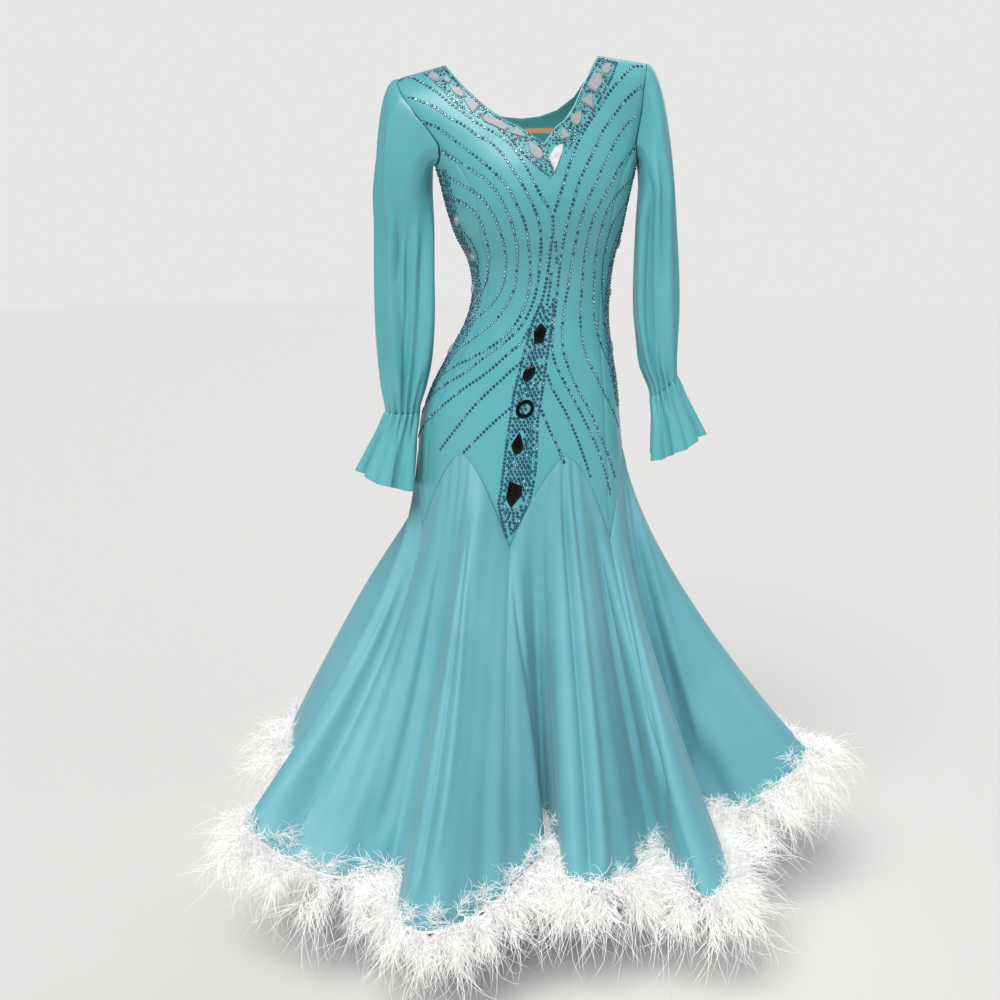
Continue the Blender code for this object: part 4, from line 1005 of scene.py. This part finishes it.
def scattered(tree, given, instance, rotation, **more):
    size = randomValue(tree, "FLOAT", given["Smallest"], given["Largest"], given["Seed"])
    grown = math2(tree, "MULTIPLY", size, named(tree, "size"))
    placed = addNode(tree, "GeometryNodeInstanceOnPoints", {
        "Points": given["Geometry"], "Instance": instance, "Rotation": rotation, "Scale": grown, **more,
    })
    return addNode(tree, "GeometryNodeRealizeInstances", {"Geometry": placed.outputs[0]}).outputs[0]


def endTree(tree, given, geometry):
    values = {"Geometry": geometry, "Material": given["Material"]}
    dressed = addNode(tree, "GeometryNodeSetMaterial", values)
    tree.links.new(dressed.outputs[0], tree.nodes.new("NodeGroupOutput").inputs[0])
    return tree


def aimed(tree, name):
    values = {"Vector": named(tree, name, "FLOAT_VECTOR")}
    return addNode(tree, "FunctionNodeAlignRotationToVector", values, axis="Z").outputs[0]


def featherTreeOf():
    tree, given = newTree("plumesAlongHem", ("Plumes", "Collection"), ("Droop", "Float"))
    kinds = addNode(tree, "GeometryNodeCollectionInfo", {
        "Collection": given["Plumes"], "Separate Children": True, "Reset Children": True,
    })
    angle = randomValue(tree, "FLOAT", 0.0, 2 * math.pi, plumes["spinSeed"])
    spin = addNode(tree, "ShaderNodeCombineXYZ", {"Z": angle})
    turn = addNode(tree, "FunctionNodeEulerToRotation", {0: spin.outputs[0]})
    spun = addNode(
        tree, "FunctionNodeRotateRotation",
        {"Rotation": aimed(tree, "aim"), "Rotate By": turn.outputs[0]}, rotation_space="LOCAL",
    )
    picked = randomValue(tree, "INT", 0, plumes["kinds"] - 1, given["Seed"])
    real = scattered(
        tree, given, kinds.outputs[0], spun.outputs[0], **{"Pick Instance": True, "Instance Index": picked}
    )
    fall = math2(tree, "MULTIPLY", math2(tree, "POWER", named(tree, "along"), 2.0), given["Droop"])
    offset = addNode(tree, "ShaderNodeCombineXYZ", {"Z": math2(tree, "MULTIPLY", fall, -1.0)})
    sagged = addNode(tree, "GeometryNodeSetPosition", {"Geometry": real, "Offset": offset.outputs[0]})
    return endTree(tree, given, sagged.outputs[0])


plumeCollection = bpy.data.collections.new("plumeKinds")
draw = np.random.default_rng(plumes["seed"])
plumeKinds = []
for index in range(plumes["kinds"]):
    kind = bpy.data.objects.new("plumeKind%d" % index, plumeMesh("plumeKind%d" % index, draw))
    plumeCollection.objects.link(kind)
    plumeKinds.append(kind)
featherNodes = featherTreeOf()


def tapeMesh(shape, path, radius):
    rings = []
    for index, place in enumerate(path):
        step = path[min(index + 1, len(path) - 1)] - path[max(index - 1, 0)]
        direction = Vector(step).normalized()
        one = direction.cross(Vector((0, 0, 1))).normalized()
        two = direction.cross(one)
        rings.append([
            shape.verts.new(Vector(place) + (one * math.cos(a) + two * math.sin(a)) * radius)
            for a in (2 * math.pi * k / plumes["tapeSides"] for k in range(plumes["tapeSides"]))
        ])
    for low, high in zip(rings, rings[1:]):
        for index in range(plumes["tapeSides"]):
            after = (index + 1) % plumes["tapeSides"]
            shape.faces.new((low[index], low[after], high[after], high[index]))
    shape.faces.new(rings[0])
    shape.faces.new(rings[-1])


def keptInside(place):
    low, high = (np.array(corner) for corner in plumes["box"])
    stretch = plumes["stretch"]
    over, under = np.maximum(place - high + stretch, 0), np.maximum(low + stretch - place, 0)
    return place - over + stretch * np.tanh(over / stretch) + under - stretch * np.tanh(under / stretch)


def hemWalk(number):
    picks = (number * goreColumns + np.arange(goreColumns + 1)) % wholeSkirt.shape[1]
    hem, above = wholeSkirt[0, picks], wholeSkirt[3, picks]
    normals = unit(skirtNormals[0, picks] * np.array([1, 1, 0.3]))
    return hem, unit(hem - above), normals, lengthAlong(hem)


for number in range(6):
    hem, falls, outs, at = hemWalk(number)
    draw = np.random.default_rng(plumes["seed"] + number)
    places, aims, sizes = [], [], []
    for stop in np.arange(plumes["pitch"] / 2, at[-1], plumes["pitch"]):
        place, fall, out = (
            np.array([np.interp(stop, at, values[:, k]) for k in range(3)]) for values in (hem, falls, outs)
        )
        fall, out = unit(fall), unit(out)
        side = unit(np.cross(fall, out))
        group = int(draw.choice(len(plumes["leans"]), p=[each[0] for each in plumes["leans"]]))
        low, high, size = plumes["leans"][group][1:]
        lean = math.radians(draw.uniform(low, high))
        sway = draw.normal(0, plumes["sway"])
        aims.append(unit(fall * math.cos(lean) + out * math.sin(lean) + side * sway))
        height = plumes["heights"][int(draw.integers(0, len(plumes["heights"])))]
        places.append(place - fall * height + out * (plumes["onCloth"] if height > 0 else 0))
        sizes.append(size)
    name = "feather_%d" % (number + 1)
    points = pointObject("plumePoints", places, {"aim": aims, "size": sizes})
    mesh = applyTree(name, points, featherNodes, {
        "Plumes": plumeCollection, "Smallest": plumes["smallest"], "Largest": plumes["largest"],
        "Droop": plumes["droop"], "Seed": plumes["seed"] + number, "Material": feather,
    })
    trim = bmesh.new()
    trim.from_mesh(mesh)
    tapeMesh(trim, hem - np.array([0, 0, plumes["drop"]]) - outs * plumes["inward"], plumes["tapeRadius"])
    for vert in trim.verts:
        vert.co = keptInside(np.array(vert.co))
    trim.to_mesh(mesh)
    trim.free()
    mesh.shade_smooth()
    addPiece("feather%d" % (number + 1), mesh, feather, [name])
for kind in plumeKinds:
    bpy.data.objects.remove(kind)
print("feather trim made")


# Large stones

def circle(count):
    return [(math.cos(2 * math.pi * k / count), math.sin(2 * math.pi * k / count)) for k in range(count)]


largeStones = {
    "lift": 0.0002, "rise": 0.003, "girdle": 0.0012,
    "ringTop": (0.9, 0.68), "ringHole": 0.58,
    # name: angle, height, width, height of the stone, turn, outline
    "places": {
        "neck_stone_1": (-35.0, -0.017, 0.014, 0.02, 35, "oval"),
        "neck_stone_2": (-30.2, -0.026, 0.011, 0.011, 0, "oval"),
        "neck_stone_3": (-28.6, -0.044, 0.016, 0.026, 40, "drop"),
        "neck_stone_4": (-25.8, -0.066, 0.026, 0.02, 35, "triangle"),
        "neck_stone_5": (-19.3, -0.095, 0.04, 0.016, -28, "long"),
        "neck_stone_6": (-10.8, -0.109, 0.022, 0.014, -20, "triangle"),
        "neck_stone_7": (-5.6, -0.137, 0.019, 0.031, 26, "drop"),
        "neck_stone_8": (5.2, -0.149, 0.0275, 0.042, 0, "kite"),
        "neck_stone_9": (11.4, -0.112, 0.018, 0.017, 10, "triangle"),
        "neck_stone_10": (19.7, -0.089, 0.016, 0.026, -42, "drop"),
        "neck_stone_11": (26.6, -0.062, 0.024, 0.02, -30, "triangle"),
        "neck_stone_12": (29.6, -0.037, 0.022, 0.028, -25, "pentagon"),
        "neck_stone_13": (33.4, -0.018, 0.017, 0.017, 0, "hexagon"),
        "centre_stone_1": (0.6, -0.4263, 0.021, 0.033, 8, "pentagon"),
        "centre_stone_2": (0.9, -0.49, 0.019, 0.028, -8, "rounded"),
        "centre_stone_3": (3.7, -0.5474, 0.03, 0.03, 0, "ring"),
        "centre_stone_4": (2.7, -0.6021, 0.019, 0.036, -4, "drop"),
        "centre_stone_5": (1.3, -0.6872, 0.028, 0.044, -6, "shield"),
        "side_stone_1": (-72.0, -0.25, 0.011, 0.016, -20, "oval"),
        "side_stone_2": (-70.0, -0.308, 0.013, 0.013, 0, "hexagon"),
        "side_stone_3": (-84.0, -0.364, 0.012, 0.017, 0, "oval"),
        "side_stone_4": (-86.0, -0.465, 0.013, 0.016, 25, "pentagon"),
        "side_stone_5": (78.0, -0.29, 0.011, 0.016, 0, "oval"),
        "side_stone_6": (84.0, -0.37, 0.013, 0.013, 0, "hexagon"),
        "side_stone_7": (86.0, -0.46, 0.012, 0.017, -10, "oval"),
    },
    "outlines": {
        "triangle": [(0, 1), (-1, -1), (1, -1)],
        "kite": [(-0.55, -1), (0.78, 0.45), (1, 1), (0.03, 0.79), (-1, 0.01)],
        "shield": [(-0.75, 1), (-0.9, -0.3), (-0.1, -1), (0.95, 0.1), (0.8, 0.75)],
        "pentagon": [(0, 1), (-1, 0.3), (-0.65, -1), (0.65, -1), (1, 0.3)],
        "long": [(-1, 0.35), (-0.8, -0.75), (0.7, -1), (1, 0.1), (0.55, 1)],
        "drop": [(0, 1.0)] + [(math.sin(math.radians(d)), -0.25 - 0.75 * math.cos(math.radians(d)))
                              for d in (110, 88, 66, 44, 22, 0, -22, -44, -66, -88, -110)],
        "oval": circle(16), "hexagon": circle(6), "rounded": circle(10), "ring": circle(20),
    },
}


def perDegree(angle, z):
    return float(np.linalg.norm(bodyPoint(angle + 0.5, z) - bodyPoint(angle - 0.5, z)))


def largeStone(shape, angle, z, wide, tall, turn, outline, bevel):
    corners = largeStones["outlines"][outline]
    around = perDegree(angle, z)
    centre = satinPoint(np.array(angle), np.array(z), satinWork["wall"])
    normal = bodyNormal(np.array(angle), np.array(z))
    cosTurn, sinTurn = math.cos(math.radians(turn)), math.sin(math.radians(turn))

    def ground(right, up):
        right, up = right * wide / 2, up * tall / 2
        a, h = angle + (right * cosTurn - up * sinTurn) / around, z + right * sinTurn + up * cosTurn
        return satinPoint(np.array(a), np.array(h), satinWork["wall"] + largeStones["lift"])

    def level(scale, rise, flat=False):
        loop = []
        for right, up in corners:
            place = ground(right * scale, up * scale)
            height = (centre - place) @ normal + rise if flat else rise
            loop.append(shape.verts.new(place + normal * height))
        return loop

    girdle, rise = largeStones["girdle"], largeStones["rise"]
    if outline == "ring":
        hole, (outer, inner) = largeStones["ringHole"], largeStones["ringTop"]
        loops = [level(1, 0), level(1, girdle), level(outer, rise), level(inner, rise), level(hole, girdle),
                 level(hole, 0)]
        loops.append(loops[0])
    else:
        loops = [level(1, 0), level(1, girdle), level(bevel, rise, True)]
        shape.faces.new(loops[0][::-1])
        shape.faces.new(loops[-1])
    for low, high in zip(loops, loops[1:]):
        for index in range(len(corners)):
            after = (index + 1) % len(corners)
            shape.faces.new((low[index], low[after], high[after], high[index]))


def meshOf(shape, name):
    mesh = bpy.data.meshes.new(name)
    shape.to_mesh(mesh)
    shape.free()
    return mesh


for pieceName, group, material, slotName, bevel in (
    ("neckStones", "neck", mirrorStone, "mirror_stone", 0.84),
    ("kiteStone", "neck", kiteReflectionStone, "mirror_stone", 0.84),
    ("centreStones", "centre", jetStone, "jet_stone", 0.62),
    ("sideStones", "side", mirrorStone, "mirror_stone", 0.80),
):
    names = [
        name for name, place in largeStones["places"].items()
        if name.startswith(group) and (place[5] == "kite") == (pieceName == "kiteStone")
    ]
    shape = bmesh.new()
    for name in names:
        largeStone(shape, *largeStones["places"][name], bevel)
    bmesh.ops.recalc_face_normals(shape, faces=shape.faces)
    mesh = meshOf(shape, pieceName)
    mesh.shade_flat()
    addPiece(pieceName, mesh, material, names)
print("large stones set")


# Small stones: rows, neck edging, centre strip and side bands

smallStones = {
    "sides": 7, "table": 0.56, "rise": 0.50, "seed": 5, "sizes": (0.92, 1.08), "tilt": 0.05, "sunk": 0.0001,
    # each kind: radius, pitch and least distance of its stones, and shine, which is the share of stones
    # whose table facet gets a painted glint, its least and most strength and that of the others
    "rows": {"size": 0.0028, "pitch": 0.0071, "reach": 0.0060, "shine": (0.55, 1.0, 0.05)},
    "strip": {"size": 0.0030, "pitch": 0.0062, "reach": 0.0052, "inset": 0.0058,
              "shine": (0.18, 0.3, 1.0, 0.08)},
    "edging": {"size": 0.0025, "pitch": 0.0048, "reach": 0.0040, "inset": 0.0042, "backInset": 0.0046,
               "sizes": (0.85, 1.0, 1.1), "shine": (0.34, 0.4, 1.0, 0.12)},
    "side": {"size": 0.0025, "pitch": 0.0056, "reach": 0.0044, "shine": (0.4, 0.4, 1.0, 0.10)},
    "band": {"steps": 400, "rowPitch": 0.87, "least": 2.6, "jitter": 0.04},
    # room left round the large stones, as shares of their size
    "margin": 0.0012, "clear": {"hole": 0.42, "round": 0.98, "corner": 0.94, "side": 0.92},
    # paths: body angle in tenths of a degree and height in tenths of a millimetre, in turn
    # rows: share of stones with a painted glint on the table facet, and path, from the neck outwards
    "leftRows": (
        (0.35, (-515, -60, -471, -30, -416, -214, -380, -425, -350, -629, -313, -792, -272, -982,
            -212, -1138, -172, -1275, -144, -1472, -112, -1729, -67, -2032, -8, -2279)),
        (0.45, (-539, -439, -490, -566, -440, -695, -413, -852, -362, -980, -320, -1152, -272, -1244,
            -232, -1442, -203, -1668, -166, -1880, -117, -2169, -72, -2467, -54, -2755, -65, -3114,
            -81, -3489, -107, -3814, -147, -4120, -233, -4400, -319, -4603, -396, -4811, -470, -4991,
            -600, -5193, -767, -5471, -850, -5742)),
        (0.65, (-605, -913, -544, -992, -512, -1105, -468, -1261, -420, -1399, -361, -1565, -304, -1746,
            -251, -1926, -213, -2170, -167, -2435, -141, -2723, -140, -3081, -141, -3440, -160, -3767,
            -195, -4059, -260, -4321, -352, -4542, -478, -4739, -619, -4911, -773, -5167)),
        (0.8, (-640, -1380, -580, -1470, -526, -1555, -454, -1690, -386, -1809, -324, -2005, -284, -2234,
            -244, -2501, -221, -2838, -246, -3216, -274, -3577, -330, -3842, -404, -4110, -520, -4339,
            -640, -4562, -800, -4840)),
        (0.9, (-760, -1728, -643, -1839, -527, -1954, -445, -2072, -392, -2240, -346, -2474, -317, -2761,
            -327, -3057, -354, -3337, -405, -3620, -506, -3878, -647, -4114, -800, -4380)),
        (0.85, (-760, -2090, -680, -2128, -590, -2197, -507, -2327, -457, -2546, -451, -2853, -505, -3188,
            -585, -3527, -715, -3794, -820, -3980)),
        (0.85, (-780, -2420, -705, -2574, -608, -2788, -612, -3053, -678, -3326, -780, -3580)),
        (0.15, (-89, -4215, -119, -4436, -174, -4592, -237, -4803, -310, -5009, -393, -5190, -480, -5411,
            -577, -5644, -686, -5891, -822, -6168)),
        (0.1, (-70, -4742, -118, -4889, -176, -5087, -234, -5290, -290, -5529, -342, -5789, -398, -6021,
            -456, -6226)),
        (0.1, (-55, -5478, -97, -5611, -153, -5797, -213, -6004, -283, -6219)),
    ),
    "rightRows": (
        (0.3, (505, -60, 455, -103, 411, -313, 361, -538, 309, -781, 250, -986, 182, -1253, 128, -1522,
            84, -1793, 51, -2050, 23, -2280)),
        (0.35, (550, -380, 511, -476, 446, -675, 390, -894, 334, -1077, 286, -1316, 223, -1586, 169, -1858,
            137, -2130, 113, -2442, 99, -2761, 88, -3118, 85, -3492, 89, -3816, 99, -4090, 119, -4438,
            159, -4697, 236, -4989, 327, -5319, 434, -5754, 510, -6131, 566, -6546, 618, -6942)),
        (0.6, (570, -820, 493, -981, 432, -1198, 382, -1411, 325, -1652, 278, -1895, 235, -2107, 207, -2385,
            192, -2703, 183, -3091, 174, -3497, 166, -3820, 177, -4222, 213, -4543, 289, -4900, 360, -5196,
            462, -5568, 549, -5979, 623, -6368, 670, -6692)),
        (0.7, (620, -1370, 535, -1511, 461, -1661, 410, -1905, 344, -2116, 302, -2361, 284, -2647,
            284, -2970, 298, -3346, 309, -3688, 326, -4045, 380, -4483, 455, -4814, 556, -5156, 672, -5511,
            807, -5902)),
        (0.8, (760, -1830, 620, -1911, 528, -1997, 454, -2157, 400, -2357, 384, -2658, 393, -2982,
            420, -3359, 453, -3770, 506, -4183, 618, -4607, 760, -4998, 840, -5250)),
        (0.8, (780, -2190, 660, -2249, 560, -2379, 497, -2606, 495, -2929, 530, -3294, 586, -3709,
            662, -4129, 800, -4480)),
        (0.85, (740, -2500, 660, -2640, 620, -2860, 630, -3158, 670, -3487, 740, -3880)),
        (0.1, (135, -4949, 195, -5208, 289, -5552, 365, -5933, 414, -6302, 451, -6608)),
        (0.1, (137, -5507, 180, -5717, 241, -6044, 285, -6342)),
    ),
    "middleRows": (
        (0.05, (6, -2311, 15, -2450, 23, -2645)),
        (0.1, (18, -2710, 3, -3115, -14, -3489, -36, -3800)),
        (0.1, (27, -2760, 26, -3115, 22, -3490, 16, -3800)),
        (0.15, (40, -2720, 60, -3117, 63, -3491, 62, -3800)),
    ),
    "stripLeft": (-46, -3850, -74, -4135, -68, -4455, -56, -4853, -48, -5253, -36, -5573, -32, -5976,
        -46, -6385, -57, -6798, -63, -7047, -40, -7326, -16, -7560),
    "stripRight": (74, -3850, 82, -4137, 96, -4457, 110, -4854, 120, -5252, 121, -5570, 131, -5971,
        125, -6377, 107, -6786, 84, -7033, 36, -7367, -4, -7560),
    # neck edging: its edge along the neckline, and its outer edges
    "edge": (303, -30, 276, -220, 249, -420, 224, -585, 196, -750, 169, -865, 139, -945, 90, -1045,
        53, -1155, 30, -1230, 0, -1310),
    "edgeLeftOut": (-389, -60, -365, -199, -346, -371, -322, -615, -280, -778, -235, -921, -195, -1046,
        -159, -1184, -138, -1336, -103, -1487, -52, -1654, -2, -1775),
    "edgeRightOut": (376, -60, 367, -266, 348, -452, 310, -664, 252, -926, 188, -1133, 113, -1386, 43, -1640,
        3, -1776),
    "sideIn": (700, -1700, 690, -2600, 660, -3200, 640, -3800, 660, -4400, 710, -5000, 800, -5600),
    "sideOut": (920, -1700, 960, -2600, 970, -3200, 960, -3800, 940, -4400, 930, -5000, 900, -5600),
    "backEdge": (303, -40, 288, -330, 250, -620, 178, -825, 90, -925, 0, -955),
    "backEdgeOut": (382, -80, 366, -500, 314, -830, 224, -1050, 114, -1160, 0, -1195),
    # the back rows stay below this line: degrees from centre back, and height
    "backLimit": ((0, 10, 20, 29, 34, 37), (-0.14, -0.136, -0.12, -0.095, -0.06, -0.01)),
}


def walk(path, count):
    path = np.array(path, float).reshape(-1, 2) / (10, 10000)
    at = np.arange(len(path))
    t = np.linspace(0, len(path) - 1, count)
    return np.stack([curveThrough(at, path[:, k])(t) for k in (0, 1)], -1)


def evenWalk(path, pitch):
    fine = walk(path, 30 * np.size(path))
    at = lengthAlong(bodyPoint(fine[:, 0], fine[:, 1]))
    stops = np.linspace(0, at[-1], max(2, int(round(at[-1] / pitch)) + 1))
    return np.stack([np.interp(stops, at, fine[:, k]) for k in (0, 1)], -1)


def bandFill(inner, outer, pitch, inset=0.0):
    band = smallStones["band"]
    one, two = walk(inner, band["steps"]), walk(outer, band["steps"])
    middle = (one + two) / 2
    at = lengthAlong(bodyPoint(middle[:, 0], middle[:, 1]))
    found = []
    for row, stop in enumerate(np.arange(0, at[-1], pitch * band["rowPitch"])):
        index = min(int(np.searchsorted(at, stop)), band["steps"] - 1)
        start, end = one[index], two[index]
        wide = np.linalg.norm(bodyPoint(*start) - bodyPoint(*end))
        if wide < band["least"] * inset:
            continue
        start, end = start + (end - start) * inset / wide, end + (start - end) * inset / wide
        count = max(1, int((wide - 2 * inset) / pitch))
        shares = (np.arange(count + 1) + (0.5 if row % 2 else 0.0)) / count
        for share in shares[shares <= 1.001]:
            share = min(max(share + draw.uniform(-band["jitter"], band["jitter"]) / count, 0), 1)
            found.append(start + (end - start) * share)
    return np.array(found)


def clearOfLarge(spots):
    keep = np.ones(len(spots), bool)
    margin, clear = smallStones["margin"], smallStones["clear"]
    for angle, z, wide, tall, turn, outline in largeStones["places"].values():
        dx, dz = (spots[:, 0] - angle) * perDegree(angle, z), spots[:, 1] - z
        c, s = math.cos(math.radians(turn)), math.sin(math.radians(turn))
        right, up = (dx * c + dz * s) / (wide / 2 + margin), (-dx * s + dz * c) / (tall / 2 + margin)
        far = np.hypot(right, up)
        if outline == "ring":
            keep &= (far > 1) | (far < clear["hole"])
        elif outline in ("oval", "rounded", "hexagon", "drop"):
            keep &= far > clear["round"]
        else:
            keep &= (far > clear["corner"]) | (np.maximum(np.abs(right), np.abs(up)) > clear["side"])
    return keep


def spaced(spots, reach):
    kept = []
    cells = {}
    points = bodyPoint(spots[:, 0], spots[:, 1])
    for index, point in enumerate(points):
        key = tuple(np.floor(point / reach).astype(int))
        near = [
            other for dx in (-1, 0, 1) for dy in (-1, 0, 1) for dz in (-1, 0, 1)
            for other in cells.get((key[0] + dx, key[1] + dy, key[2] + dz), ())
        ]
        if all(np.linalg.norm(points[other] - point) > reach for other in near):
            cells.setdefault(key, []).append(index)
            kept.append(index)
    return kept


def stoneShape():
    shape = bmesh.new()
    sides = smallStones["sides"]
    low, high = (
        [shape.verts.new((radius * x, radius * y, z)) for x, y in circle(sides)]
        for radius, z in ((1.0, 0.0), (smallStones["table"], smallStones["rise"]))
    )
    shape.faces.new(low[::-1])
    shape.faces.new(high)
    for k in range(sides):
        after = (k + 1) % sides
        shape.faces.new((low[k], low[after], high[after], high[k]))
    mesh = meshOf(shape, "smallStone")
    flat = [1.0 if face.normal.z > 0.9 else 0.0 for face in mesh.polygons]
    mesh.attributes.new("table", "FLOAT", "FACE").data.foreach_set("value", flat)
    return mesh


def stoneTreeOf():
    tree, given = newTree("stonesOnSatin", ("Stone", "Object"))
    stone = addNode(tree, "GeometryNodeObjectInfo", {"Object": given["Stone"]})
    return endTree(tree, given, scattered(tree, given, stone.outputs["Geometry"], aimed(tree, "out")))


stoneKind = bpy.data.objects.new("stoneKind", stoneShape())
scene.collection.objects.link(stoneKind)
stoneNodes = stoneTreeOf()
draw = np.random.default_rng(smallStones["seed"])


# strength of the painted glint on each stone's table facet
def shine(count, share, low, high, dull):
    return np.where(draw.uniform(size=count) < share, draw.uniform(low, high, count), dull)


def setStones(name, kind, spots, bright, sizes=1.0):
    keep = clearOfLarge(spots)
    sizes = kind["size"] * (sizes + np.zeros(len(spots)))
    spots, bright, sizes = spots[keep], bright[keep], sizes[keep]
    kept = spaced(spots, kind["reach"])
    spots, bright, sizes = spots[kept], bright[kept], sizes[kept]
    normals = bodyNormal(spots[:, 0], spots[:, 1])
    places = satinPoint(spots[:, 0], spots[:, 1], satinWork["wall"] - smallStones["sunk"])
    outs = unit(normals + draw.normal(0, smallStones["tilt"], normals.shape))
    points = pointObject("stonePoints", places, {"out": outs, "size": sizes, "tableGlint": bright})
    smallest, largest = smallStones["sizes"]
    mesh = applyTree(name, points, stoneNodes, {
        "Stone": stoneKind, "Smallest": smallest, "Largest": largest, "Seed": 3, "Material": smallStone,
    })
    mesh.shade_flat()
    addPiece(name, mesh, smallStone)
    print(name, len(spots), "stones")


def rowStones(*keys):
    spots, bright = [], []
    for key in keys:
        for share, path in smallStones[key]:
            steps = evenWalk(path, smallStones["rows"]["pitch"])
            spots.append(steps)
            bright.append(shine(len(steps), share, *smallStones["rows"]["shine"]))
    return np.concatenate(spots), np.concatenate(bright)


def turnedRound(spots):
    angle = 180 - spots[:, 0]
    return np.stack([np.where(angle > 180, angle - 360, angle), spots[:, 1]], -1)


frontSpots, frontBright = rowStones("leftRows", "rightRows", "middleRows")
backSpots, backBright = rowStones("leftRows", "rightRows")
backSpots = turnedRound(backSpots)
underNeck = backSpots[:, 1] < np.interp(180 - np.abs(backSpots[:, 0]), *smallStones["backLimit"])
allSpots = np.concatenate([frontSpots, backSpots[underNeck]])
allBright = np.concatenate([frontBright, backBright[underNeck]])
setStones("stoneRows", smallStones["rows"], allSpots, allBright)


def edgedBand(inner, outer, pitch, inset):
    return [evenWalk(inner, pitch), evenWalk(outer, pitch), bandFill(inner, outer, pitch, inset)]


strip = smallStones["strip"]
stripSpots = np.concatenate(
    edgedBand(smallStones["stripLeft"], smallStones["stripRight"], strip["pitch"], strip["inset"])
)
setStones("centreStrip", strip, stripSpots, shine(len(stripSpots), *strip["shine"]))

edging = smallStones["edging"]
edgeSpots = []
for outer, mirror in (("edgeLeftOut", -1), ("edgeRightOut", 1)):
    inner = np.array(smallStones["edge"]).reshape(-1, 2) * (mirror, 1)
    edgeSpots += edgedBand(inner, smallStones[outer], edging["pitch"], edging["inset"])
backBand = np.concatenate(
    edgedBand(smallStones["backEdge"], smallStones["backEdgeOut"], edging["pitch"], edging["backInset"])
)
edgeSpots += [backBand * (-1, 1) + (180, 0), backBand - (180, 0)]
edgeSpots = np.concatenate(edgeSpots)
edgeBright = shine(len(edgeSpots), *edging["shine"])
setStones("neckEdging", edging, edgeSpots, edgeBright, draw.choice(edging["sizes"], len(edgeSpots)))

side = smallStones["side"]
sideBand = bandFill(smallStones["sideIn"], smallStones["sideOut"], side["pitch"])
sideSpots = np.concatenate([sideBand, sideBand * (-1, 1)])
setStones("sideBands", side, sideSpots, shine(len(sideSpots), *side["shine"]))
bpy.data.objects.remove(stoneKind)
print("small stones set")


# Strap

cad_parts["neck_strap"].data.materials.clear()
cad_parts["neck_strap"].data.materials.append(elastic)

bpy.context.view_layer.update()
triangles = {}
depsgraph = bpy.context.evaluated_depsgraph_get()
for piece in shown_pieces():
    evaluated = piece.evaluated_get(depsgraph).to_mesh()
    evaluated.calc_loop_triangles()
    triangles[piece.name] = len(evaluated.loop_triangles)
print("triangles", sum(triangles.values()), triangles)
